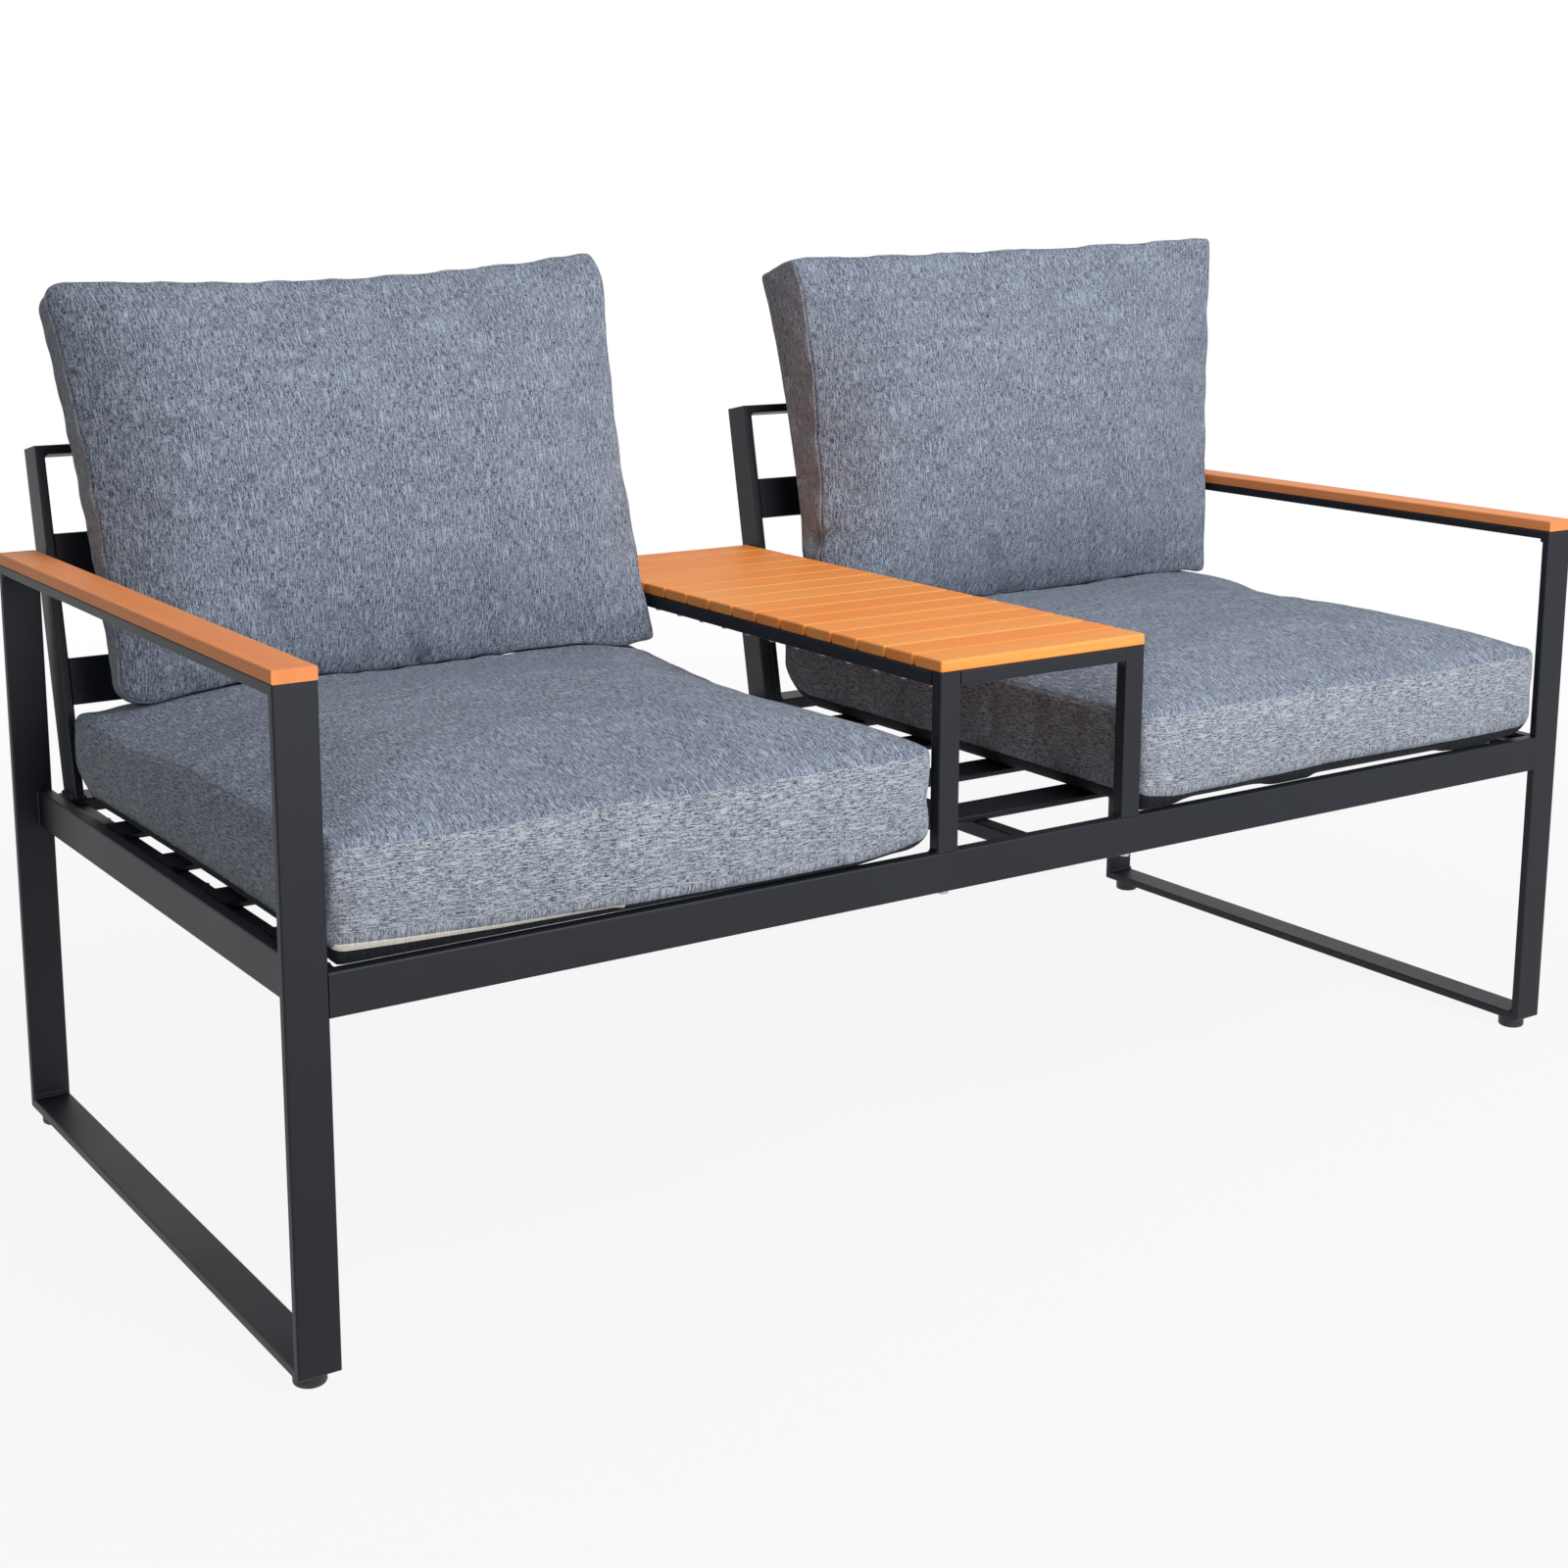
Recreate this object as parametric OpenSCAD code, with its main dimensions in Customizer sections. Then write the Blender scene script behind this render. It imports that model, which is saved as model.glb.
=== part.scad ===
// Two-seat porch sofa with a slatted table between its seats.
// Millimetres, +Z up, +X to the right of someone who faces the front, +Y to the back.
// The origin is on the floor, under the middle of the whole sofa.
// Inside the modules Y starts at the front faces of the legs, and on_floor() moves it back.

/* [Side frames] */
// Width over both side frames
frame_w = 1620; // [1500:10:1800]
// Depth over the front and rear legs
frame_d = 740; // [700:5:800]
// Height of the arm tubes above the floor
arm_z = 617; // [600:1:660]
// Width of the flat tube of the side and back frames
flat_w = 40; // [36:1:50]
// Thickness of that flat tube
flat_t = 10; // [8:0.5:12]
// Thickness of the arm caps
cap_t = 12; // [10:0.5:16]
// Height of the feet
foot_h = 14; // [12:1:20]
// Diameter of the feet
foot_d = 30; // [24:1:34]
// Distance from a leg's outer face to the middle of its foot
foot_inset = 24; // [22:1:60]

/* [Seat deck] */
// Height of the seat rails' upper edges
rail_z = 370; // [340:1:400]
// Height of the front and side seat rails
rail_h = 40; // [38:1:50]
// Thickness of all the seat rails
rail_t = 15; // [14:0.5:18]
// Free space between the rear seat rail and the rear legs
rear_gap = 20; // [10:1:30]
// Side of the two square end tubes
end_tube = 20; // [18:1:24]
// Width of the middle support tube
support_w = 20; // [16:1:26]
// Width of a seat slat
slat_w = 50; // [40:1:60]
// Thickness of a seat slat
slat_t = 7; // [6:0.5:8]
// Distance from the front faces to the first seat slat
slat_front = 94; // [80:1:110]
// Distance from the last seat slat to the rear seat rail
slat_rear = 109; // [90:1:120]

/* [Back frames] */
// Lean of the back frames from the vertical, in degrees
lean = 11.2; // [6:0.2:14]
// Height of the back frames' front upper edges
back_z = 739; // [725:1:780]
// Free space between an outer post and the side seat rail
post_gap = 6; // [4:0.5:10]
// Height of the back frames' lower rails, along the posts
back_rail_w = 50; // [40:1:60]
// Height of the middle back rail's upper edge
mid_rail_z = 647; // [620:1:665]
// Height of the lowest back rail's upper edge
low_rail_z = 517; // [490:1:540]

/* [Table] */
// Width of the table
table_w = 265; // [240:5:320]
// Distance from the rear legs' rear faces to the last table slat
table_setback = 3; // [0:1:12]
// Height of the table's upper face
table_z = 562; // [540:1:580]
// Number of table slats
plank_count = 16; // [12:1:18]
// Gap between two table slats
plank_gap = 3; // [2:0.5:5]
// Thickness of the table slats
plank_t = 12; // [12:0.5:16]
// Side of the tubes under the table slats
table_tube = 15; // [14:0.5:18]
// Width of a front table leg
table_leg_w = 25; // [22:1:32]

/* [Cushions] */
// Free space between a cushion and the frame on each side
cushion_gap = 3; // [2:0.5:8]
// Free space between a seat cushion and the back frame
seat_rear_gap = 6; // [5:1:20]
// Setback of the seat cushions from the front faces
seat_front_gap = 2; // [2:1:20]
// Height of the seat cushions' lower seams above the seat rails
seat_seam = 20; // [16:1:26]
// Distance over which a seat cushion's underside falls from its lower seam to the deck
seat_tuck = 18; // [12:1:60]
// Height of the band between a seat cushion's two seams
seat_side_h = 90; // [70:1:100]
// Rise of a seat cushion's upper face above its seam
seat_crown = 20; // [12:1:24]
// Rise of the lower seam at a seat cushion's rear corner
seat_heel = 32; // [20:1:40]
// Height of the back cushions' lower seams above the seat cushions' upper seams
back_rise = 16; // [12:1:24]
// Height of a back cushion, along its lean
back_h = 436; // [400:2:470]
// Width of the band between a back cushion's two seams
back_side_w = 78; // [60:1:90]
// Swell of a back cushion's front face past its seam
back_crown = 36; // [24:1:44]
// Distance that a back cushion's lower front seam stands in front of the rear seat rail
back_forward = 112; // [105:1:125]
// Radius of the seat cushions' corners
seat_r = 18; // [12:1:30]
// Radius of the back cushions' corners
back_r = 24; // [14:1:36]
// How far the seat cushions' sides are drawn in between their corners
seat_draw = 4; // [2:1:8]
// How far the back cushions' sides are drawn in between their corners
back_draw = 12; // [4:1:18]

/* [Walls and fastenings] */
// Wall of the tubes
wall = 1.5; // [1:0.1:2]
// Rounding of the tubes' long edges
edge_r = 2; // [1.6:0.1:2.5]
// Rounding of the table slats' and arm caps' edges
plank_r = 1.5; // [1:0.1:2.5]
// Radius of the weld fillets in the frames' inner corners
fillet_r = 5; // [3:0.5:6]
// Rounding of the side frames' lower outer corners
corner_r = 4; // [2:0.5:5]
// Diameter of the bolts that hold the seat deck to the side frames
bolt_d = 8; // [6:1:8]
// Diameter of the bolts that hold the table legs
leg_bolt_d = 6; // [5:1:6]
// Diameter of the screws in the table slats and arm caps
screw_d = 4; // [3:0.5:4.5]
// Distance from an arm cap's ends to its first and last screws
cap_screw_inset = 50; // [30:5:80]
// Clearance of the bolts, screws and foot studs in their holes, on the radius
hole_gap = 0.25; // [0.1:0.05:0.4]
// Clearance between soft and hard pieces that touch
soft_gap = 0.3; // [0.2:0.1:0.5]

/* [Hidden] */

frame_color = [0.12, 0.12, 0.13];
wood_color = [0.78, 0.44, 0.22];
fabric_color = [0.37, 0.40, 0.46];
foot_color = [0.05, 0.05, 0.05];
steel_color = [0.6, 0.6, 0.62];

// Side frames
inner_x = frame_w / 2 - flat_w;
side_x = frame_w / 2 - flat_w / 2;
floor_z = foot_h;
rear_leg_y = frame_d - flat_t;
stud_d = 8;
stud_l = flat_t - 2 * wall - 1;

// Seat deck
rear_rail_y = rear_leg_y - rear_gap - flat_w;
tube_top = rail_z - slat_t;
slat_end_gap = 1;
slat_pitch = (rear_rail_y - slat_front - slat_rear - slat_w) / 3;
end_tube_x = inner_x - end_tube / 2;
bolt_z = tube_top - end_tube / 2;
bolt_ys = [for (share = [0.08, 0.5, 0.92]) share * rear_rail_y];

// Back frames, measured along the leaning posts from the seat rail
post_x = inner_x - post_gap - flat_t / 2;
inner_post_x = table_w / 2 + flat_t / 2;
post_l = (back_z - rail_z) / cos(lean);
sofa_d = rear_rail_y + post_l * sin(lean) + flat_w * cos(lean);

// Table
table_d = frame_d - table_setback;
tube_z = table_z - plank_t - table_tube;
plank_bottom = table_z - plank_t;
plank_pitch = (table_d + plank_gap) / plank_count;
plank_w = plank_pitch - plank_gap;
strut_x = table_w / 2 - table_tube / 2;
leg_x = table_w / 2 - table_leg_w / 2;
rear_screw_x = table_w / 2 - 2 * table_tube;
last_plank_y = table_d - plank_w / 2;

// Fastenings
screw_head_h = 2;
screw_bite = 8;
nut_flange = 3;
plug_h = 14;
nut_l = rail_t - 2 * wall;

// Cushions
bay_x = (inner_x + table_w / 2) / 2;
bay_w = inner_x - table_w / 2;
cushion_w = bay_w - 2 * cushion_gap;
seat_d = rear_rail_y - seat_rear_gap - seat_front_gap;
seat_y = seat_front_gap + seat_d / 2;
seat_top_z = rail_z + seat_seam + seat_side_h;
heel_l = 60;
back_bottom_z = seat_top_z + back_rise;
back_swell = 70;
back_trim = 2;
band_swell = 0.015;
rest_gap = 1.8;
side_steps = 9;
corner_steps = 4;
panel_steps = [0.3, 0.55, 0.75, 0.88, 0.96, 1];
band_steps = [0.2, 0.5, 0.8];

// Slump of the back cushions' corners: across, forward and up, at the lower left,
// the lower right, the upper left and the upper right seen from the front
left_slump = [[14, 28, 0], [0, 20, 0], [0, 0, -10], [0, 0, 12]];
right_slump = [[14, 10, 0], [0, -8, 0], [10, 10, 0], [4, 56, 8]];

// Moves a piece from the front faces of the legs to the middle of the sofa's depth
module on_floor() {
    translate([0, -sofa_d / 2, 0]) children();
}

// Makes a right-hand piece, or its mirror image on the left
module on_side(side) {
    on_floor() mirror([side < 0 ? 1 : 0, 0, 0]) children();
}

// Lean of the back frames: local Z runs up the posts and local Y is square to them
module leaning() {
    translate([0, rear_rail_y, rail_z]) rotate([-lean, 0, 0]) children();
}

// Outline of a bar with rounded edges
module bar_outline(w, h, r) {
    square([w - 2 * r, h], center = true);
    square([w, h - 2 * r], center = true);
    for (x = [-1, 1], y = [-1, 1])
        translate([x * (w / 2 - r), y * (h / 2 - r)]) circle(r, $fn = 24);
}

// Outline of a hollow tube
module tube_outline(w, h) {
    difference() {
        bar_outline(w, h, edge_r);
        square([w - 2 * wall, h - 2 * wall], center = true);
    }
}

// Tubes along each axis: the middle of their section starts at the origin
module tube_up(w, d, l) {
    linear_extrude(l) tube_outline(w, d);
}
module tube_back(w, h, l) {
    rotate([-90, 0, 0]) linear_extrude(l) tube_outline(w, h);
}
module tube_across(d, h, l) {
    rotate([90, 0, 90]) linear_extrude(l, center = true) tube_outline(d, h);
}

// Weld fillet along X in the corner at the origin, filling towards +Y and +Z
module fillet_across(r, l) {
    rotate([90, 0, 90]) linear_extrude(l, center = true) difference() {
        square(r);
        translate([r, r]) circle(r, $fn = 32);
    }
}

// What is cut from an outer corner at the origin to round it, towards +Y and +Z
module corner_cut(r) {
    rotate([90, 0, 90]) linear_extrude(2 * flat_w, center = true) difference() {
        translate([-1, -1]) square(r + 1);
        translate([r, r]) circle(r, $fn = 32);
    }
}

// Side view of a mitred ring bar, extruded over the ring's width
module mitre_block(points) {
    rotate([90, 0, 90]) linear_extrude(flat_w + 2, center = true) polygon(points);
}

// Leg with its outer face at Y = 0: a flat tube mitred to the arm rail and the floor rail,
// with the weld fillets that fill the corners behind it
module leg() {
    difference() {
        intersection() {
            translate([0, flat_t / 2, floor_z]) tube_up(flat_w, flat_t, arm_z - floor_z);
            mitre_block([
                [0, floor_z], [flat_t, floor_z + flat_t],
                [flat_t, arm_z - flat_t], [0, arm_z]
            ]);
        }
        translate([0, 0, floor_z]) corner_cut(corner_r);
    }
    translate([0, flat_t, floor_z + flat_t]) fillet_across(fillet_r, flat_w - 2 * edge_r);
    translate([0, flat_t, arm_z - flat_t]) mirror([0, 0, 1])
        fillet_across(fillet_r, flat_w - 2 * edge_r);
}
module front_leg(side) {
    color(frame_color) on_side(side) translate([side_x, 0, 0]) leg();
}
module rear_leg(side) {
    color(frame_color) on_side(side) translate([side_x, frame_d, 0]) mirror([0, 1, 0]) leg();
}

// Floor rail of a side frame, with the holes for the studs of its two feet
module floor_rail(side) {
    color(frame_color) on_side(side) translate([side_x, 0, 0]) difference() {
        intersection() {
            translate([0, 0, floor_z + flat_t / 2]) tube_back(flat_w, flat_t, frame_d);
            mitre_block([
                [0, floor_z], [flat_t, floor_z + flat_t],
                [rear_leg_y, floor_z + flat_t], [frame_d, floor_z]
            ]);
        }
        translate([0, 0, floor_z]) corner_cut(corner_r);
        translate([0, frame_d, floor_z]) mirror([0, 1, 0]) corner_cut(corner_r);
        for (y = [foot_inset, frame_d - foot_inset])
            translate([0, y, floor_z - 1]) cylinder(d = stud_d + 2 * hole_gap, h = wall + 2, $fn = 32);
    }
}

// Arm rail of a side frame, with the holes for the screws of its cap
module arm_rail(side) {
    color(frame_color) on_side(side) translate([side_x, 0, 0]) difference() {
        intersection() {
            translate([0, 0, arm_z - flat_t / 2]) tube_back(flat_w, flat_t, frame_d);
            mitre_block([
                [0, arm_z], [flat_t, arm_z - flat_t],
                [rear_leg_y, arm_z - flat_t], [frame_d, arm_z]
            ]);
        }
        for (y = cap_screw_ys())
            translate([0, y, arm_z - flat_t - 1])
                cylinder(d = screw_d + 2 * hole_gap, h = flat_t + 2, $fn = 24);
    }
}

// Places of the four screws along an arm
function cap_screw_ys() = [
    for (i = [0:3]) cap_screw_inset + i * (frame_d - 2 * cap_screw_inset) / 3
];

// Side seat rail between the two legs of a side frame, flush with their inner faces
module side_rail(side) {
    color(frame_color) on_side(side) difference() {
        translate([inner_x + rail_t / 2, flat_t, rail_z - rail_h / 2])
            tube_back(rail_t, rail_h, frame_d - 2 * flat_t);
        for (y = bolt_ys)
            translate([inner_x - 1, y, bolt_z]) rotate([0, 90, 0])
                cylinder(d = nut_d() + 2 * hole_gap, h = wall + 2, $fn = 32);
    }
}

// Wood-look cap on an arm
module arm_cap(side) {
    color(wood_color) on_side(side) difference() {
        translate([side_x, 0, arm_z + cap_t / 2]) rotate([-90, 0, 0])
            linear_extrude(frame_d) bar_outline(flat_w, cap_t, plank_r);
        for (y = cap_screw_ys())
            translate([side_x, y, arm_z - 1])
                cylinder(d = screw_d + 2 * hole_gap, h = screw_bite + 1.5, $fn = 24);
    }
}

// Round foot with a rounded lower edge and a stud that screws into the floor rail
module foot(side, y) {
    rim = 3;
    color(foot_color) on_side(side) translate([side_x, y, 0]) rotate_extrude($fn = 48) {
        square([foot_d / 2 - rim, foot_h]);
        translate([0, rim]) square([foot_d / 2, foot_h - rim]);
        translate([foot_d / 2 - rim, rim]) circle(rim, $fn = 24);
        square([stud_d / 2, foot_h + wall + stud_l]);
    }
}

// Front seat rail between the side frames, with the holes for the table legs' bolts
module front_rail() {
    color(frame_color) on_floor() difference() {
        translate([0, rail_t / 2, rail_z - rail_h / 2]) tube_across(rail_t, rail_h, 2 * inner_x);
        for (x = [-leg_x, leg_x])
            translate([x, rail_t / 2, rail_z - rail_h - 1])
                cylinder(d = leg_bolt_d + 2 * hole_gap, h = rail_h + 2, $fn = 32);
    }
}

// Rear seat rail: it carries the back frames and the table's leaning struts
module rear_rail() {
    color(frame_color) on_floor() difference() {
        translate([0, rear_rail_y + flat_w / 2, rail_z - rail_t / 2])
            tube_across(flat_w, rail_t, 2 * inner_x);
        for (x = [-strut_x, strut_x])
            translate([x, strut_bolt_y(), rail_z - rail_t - 1])
                cylinder(d = leg_bolt_d + 2 * hole_gap, h = rail_t + 2, $fn = 32);
    }
}
function strut_bolt_y() = rear_rail_y + flat_w / 2 / cos(lean);

// Square tube beside each side frame: the slats lie on it and the deck is bolted through it
module end_tube_bar(side) {
    color(frame_color) on_side(side) difference() {
        translate([end_tube_x, rail_t, bolt_z]) tube_back(end_tube, end_tube, rear_rail_y - rail_t);
        for (y = bolt_ys)
            translate([inner_x - end_tube - 1, y, bolt_z]) rotate([0, 90, 0])
                cylinder(d = bolt_d + 2 * hole_gap, h = end_tube + 2, $fn = 32);
    }
}

// Middle support tube under the slats, between the front and rear seat rails
module middle_support() {
    support_h = rail_t + 1;
    color(frame_color) on_floor() translate([0, rail_t, tube_top - support_h / 2])
        tube_back(support_w, support_h, rear_rail_y - rail_t);
}

// Flat seat slat number i, across both seats
module seat_slat(i) {
    color(frame_color) on_floor()
        translate([0, slat_front + slat_w / 2 + (i - 1) * slat_pitch, rail_z - slat_t / 2])
            tube_across(slat_w, slat_t, 2 * (inner_x - slat_end_gap));
}

// Side view of the leaning band that the back posts and table struts fill, up to a height
module lean_block(z) {
    run = (z - rail_z) * tan(lean);
    deep = flat_w / cos(lean);
    rotate([90, 0, 90]) linear_extrude(flat_w, center = true) polygon([
        [rear_rail_y - 1, rail_z], [rear_rail_y + deep + 1, rail_z],
        [rear_rail_y + deep + run + 1, z], [rear_rail_y + run - 1, z]
    ]);
}

// Post of a back frame at x, cut level on the rear seat rail and mitred to the top rail.
// inward is the side, along X, that its back rails lie on.
module back_post(side, x, inward) {
    color(frame_color) on_side(side) intersection() {
        leaning() {
            intersection() {
                translate([x, flat_w / 2, -flat_w]) tube_up(flat_t, flat_w, post_l + flat_w);
                post_mitre(x, inward);
            }
            translate([x + inward * flat_t / 2, flat_w / 2, post_l - flat_t])
                mirror([inward < 0 ? 1 : 0, 0, 0]) mirror([0, 0, 1])
                    fillet_back(flat_w - 2 * edge_r);
        }
        translate([x, 0, 0]) above_rear_rail();
    }
}

// Front view of a post: its upper end slopes down towards its rails at 45 degrees
module post_mitre(x, inward) {
    translate([x, flat_w + 1, 0]) rotate([90, 0, 0]) linear_extrude(flat_w + 2) polygon([
        [-flat_t / 2, -flat_w], [flat_t / 2, -flat_w],
        [flat_t / 2, inward > 0 ? post_l - flat_t : post_l],
        [-flat_t / 2, inward > 0 ? post_l : post_l - flat_t]
    ]);
}

// Everything above the rear seat rail near a post
module above_rear_rail() {
    translate([-flat_w, 0, rail_z]) cube([2 * flat_w, sofa_d + flat_w, back_z]);
}

// Top rail of a back frame, mitred to both posts
module top_rail(side) {
    x0 = inner_post_x - flat_t / 2;
    x1 = post_x + flat_t / 2;
    color(frame_color) on_side(side) leaning() intersection() {
        translate([(x0 + x1) / 2, flat_w / 2, post_l - flat_t / 2])
            tube_across(flat_w, flat_t, x1 - x0);
        translate([0, flat_w + 1, 0]) rotate([90, 0, 0]) linear_extrude(flat_w + 2) polygon([
            [x0, post_l], [x1, post_l], [x1 - flat_t, post_l - flat_t], [x0 + flat_t, post_l - flat_t]
        ]);
    }
}

// Flat back rail between the posts, flush with their front faces, with its upper edge at z
module back_rail(side, z) {
    l = post_x - inner_post_x - flat_t;
    color(frame_color) on_side(side) leaning()
        translate([(post_x + inner_post_x) / 2, flat_t / 2,
                   (z - rail_z) / cos(lean) - back_rail_w / 2])
            tube_across(flat_t, back_rail_w, l);
}

// Weld fillet along Y in the corner at the origin, filling towards +X and +Z
module fillet_back(l) {
    rotate([90, 0, 0]) linear_extrude(l, center = true) difference() {
        square(fillet_r);
        translate([fillet_r, fillet_r]) circle(fillet_r, $fn = 32);
    }
}

// Front leg of the table, with its weld fillets on the seat rail and under the table's rail
module table_leg(side) {
    weld_l = rail_t - 2 * edge_r;
    color(frame_color) on_side(side) translate([leg_x, rail_t / 2, rail_z]) {
        tube_up(table_leg_w, rail_t, plank_bottom - rail_z);
        for (edge = [-1, 1])
            mirror([edge < 0 ? 1 : 0, 0, 0]) translate([table_leg_w / 2, 0, 0]) fillet_back(weld_l);
        translate([-table_leg_w / 2, 0, tube_z - rail_z]) mirror([1, 0, 0]) mirror([0, 0, 1])
            fillet_back(weld_l);
    }
}

// Leaning rear leg of the table beside the back frame's inner post
module table_strut(side) {
    color(frame_color) on_side(side) intersection() {
        leaning() translate([strut_x, flat_w / 2, -flat_w])
            tube_up(table_tube, flat_w, 2 * flat_w + (plank_bottom - rail_z) / cos(lean));
        translate([strut_x, 0, 0]) lean_block(plank_bottom);
    }
}

// Rail under the ends of the table slats, from the front leg to the leaning strut
module table_rail(side) {
    color(frame_color) on_side(side) difference() {
        translate([strut_x, rail_t, tube_z + table_tube / 2])
            tube_back(table_tube, table_tube, rear_rail_y + 2 * flat_w - rail_t);
        leaning() translate([strut_x - table_tube, 0, 0])
            cube([2 * table_tube, 4 * flat_w, post_l]);
        for (i = [0:plank_count - 2])
            translate([strut_x, plank_y(i), tube_z - 1])
                cylinder(d = screw_d + 2 * hole_gap, h = table_tube + 2, $fn = 24);
    }
}
function plank_y(i) = plank_w / 2 + i * plank_pitch;

// Rail between the two front table legs
module table_front_rail() {
    color(frame_color) on_floor() translate([0, rail_t / 2, tube_z + table_tube / 2])
        tube_across(rail_t, table_tube, table_w - 2 * table_leg_w);
}

// Rail between the two leaning struts, under the last table slat
module table_rear_rail() {
    color(frame_color) on_floor() difference() {
        translate([0, last_plank_y, tube_z + table_tube / 2])
            tube_across(table_tube, table_tube, table_w - 2 * table_tube);
        for (x = [-rear_screw_x, rear_screw_x])
            translate([x, last_plank_y, tube_z - 1])
                cylinder(d = screw_d + 2 * hole_gap, h = table_tube + 2, $fn = 24);
    }
}

// Wood-look table slats, each with two screw holes underneath
module table_planks() {
    color(wood_color) on_floor() for (i = [0:plank_count - 1]) difference() {
        translate([0, plank_y(i), table_z - plank_t / 2]) rotate([90, 0, 90])
            linear_extrude(table_w, center = true) bar_outline(plank_w, plank_t, plank_r);
        for (x = plank_screw_xs(i))
            translate([x, plank_y(i), plank_bottom - 1])
                cylinder(d = screw_d + 2 * hole_gap, h = screw_bite + 1.5, $fn = 24);
    }
}
function plank_screw_xs(i) = i < plank_count - 1 ? [-strut_x, strut_x] : [-rear_screw_x, rear_screw_x];

// Screw from below: its head lies under z and its shank reaches through a bar of height h
module screw(h) {
    translate([0, 0, -screw_head_h]) cylinder(d = 2 * screw_d, h = screw_head_h, $fn = 24);
    cylinder(d = screw_d, h = h + screw_bite, $fn = 24);
}
module plank_screws() {
    color(steel_color) on_floor() for (i = [0:plank_count - 1], x = plank_screw_xs(i))
        translate([x, plank_y(i), tube_z]) screw(table_tube);
}
module cap_screws() {
    color(steel_color) on_floor() for (x = [-side_x, side_x], y = cap_screw_ys())
        translate([x, y, arm_z - flat_t]) screw(flat_t);
}

// Bolts from the end tubes into the nuts of the side seat rails
function nut_d() = bolt_d + 3;
module deck_bolts() {
    head_h = bolt_d / 2;
    color(steel_color) for (side = [-1, 1]) on_side(side) for (y = bolt_ys)
        translate([inner_x - end_tube, y, bolt_z]) rotate([0, 90, 0]) {
            translate([0, 0, -head_h]) cylinder(d = 1.75 * bolt_d, h = head_h, $fn = 32);
            cylinder(d = bolt_d, h = end_tube + nut_l, $fn = 32);
        }
}

// Flanged nuts set in the inner walls of the side seat rails
module deck_nuts() {
    color(steel_color) for (side = [-1, 1]) on_side(side) for (y = bolt_ys)
        translate([inner_x, y, bolt_z]) rotate([0, 90, 0]) difference() {
            union() {
                cylinder(d = nut_d(), h = nut_l, $fn = 32);
                translate([0, 0, wall]) cylinder(d = nut_d() + nut_flange, h = nut_flange, $fn = 32);
            }
            translate([0, 0, -1]) cylinder(d = bolt_d + hole_gap / 2, h = nut_l + 2, $fn = 32);
        }
}

// Bolt from below through a rail of height h into the plug of a leg
module leg_bolt(h) {
    head_h = leg_bolt_d / 2;
    translate([0, 0, -head_h]) cylinder(d = 1.75 * leg_bolt_d, h = head_h, $fn = 32);
    cylinder(d = leg_bolt_d, h = h + plug_h - 2, $fn = 32);
}
module front_leg_bolts() {
    color(steel_color) on_floor() for (x = [-leg_x, leg_x])
        translate([x, rail_t / 2, rail_z - rail_h]) leg_bolt(rail_h);
}
module strut_bolts() {
    color(steel_color) on_floor() for (x = [-strut_x, strut_x])
        translate([x, strut_bolt_y(), rail_z - rail_t]) leg_bolt(rail_t);
}

// Threaded blocks welded into the lower ends of the front table legs
module leg_plugs() {
    color(steel_color) for (side = [-1, 1]) on_side(side) translate([leg_x, rail_t / 2, rail_z])
        difference() {
            translate([wall - table_leg_w / 2, wall - rail_t / 2, 0])
                cube([table_leg_w - 2 * wall, rail_t - 2 * wall, plug_h]);
            translate([0, 0, -1]) cylinder(d = leg_bolt_d + hole_gap / 2, h = plug_h + 2, $fn = 32);
        }
}

// Threaded blocks welded into the lower ends of the leaning struts
module strut_plugs() {
    color(steel_color) for (side = [-1, 1]) on_side(side) difference() {
        intersection() {
            leaning() translate([strut_x - table_tube / 2 + wall, wall, -flat_w])
                cube([table_tube - 2 * wall, flat_w - 2 * wall, 2 * flat_w]);
            translate([strut_x, 0, 0]) lean_block(rail_z + plug_h);
        }
        translate([strut_x, strut_bolt_y(), rail_z - 1])
            cylinder(d = leg_bolt_d + hole_gap / 2, h = plug_h + 2, $fn = 32);
    }
}

// Outline of a cushion with half sizes a and b: corners of radius r, sides drawn in by d
function quarter_turn(p, q) =
    q == 0 ? p : q == 1 ? [-p.y, p.x] : q == 2 ? [-p.x, -p.y] : [p.y, -p.x];
function outline_point(half, r, d, j) =
    j <= side_steps
        ? [half.x - d * sin(180 * j / side_steps), (half.y - r) * (2 * j / side_steps - 1)]
        : let (turn = 90 * (j - side_steps) / corner_steps)
          [half.x - r * (1 - cos(turn)), half.y - r * (1 - sin(turn))];
function cushion_outline(a, b, r, d) = [
    for (q = [0:3], j = [0:side_steps + corner_steps - 1])
        quarter_turn(outline_point(q % 2 == 0 ? [a, b] : [b, a], r, d, j), q)
];

// How far a face has swelled at u and v, which run from -1 to 1 over it
function swell(u, v) = (1 - min(1, abs(u)) ^ 3) * (1 - min(1, abs(v)) ^ 3);

// Closed skin through rings of points, from a first to a last point.
// Each ring runs counter-clockwise as seen from the last point.
module ring_skin(first, rings, last) {
    n = len(rings[0]);
    m = len(rings);
    polyhedron(
        points = concat([first], [for (ring = rings, p = ring) p], [last]),
        faces = concat(
            [for (i = [0:n - 1]) [0, 1 + i, 1 + (i + 1) % n]],
            [for (k = [0:m - 2], i = [0:n - 1], half = [0, 1])
                let (a = 1 + k * n + i, b = 1 + k * n + (i + 1) % n)
                half == 0 ? [a, a + n, b] : [b, a + n, b + n]],
            [for (i = [0:n - 1])
                [1 + (m - 1) * n + i, m * n + 1, 1 + (m - 1) * n + (i + 1) % n]]
        )
    );
}

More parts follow.
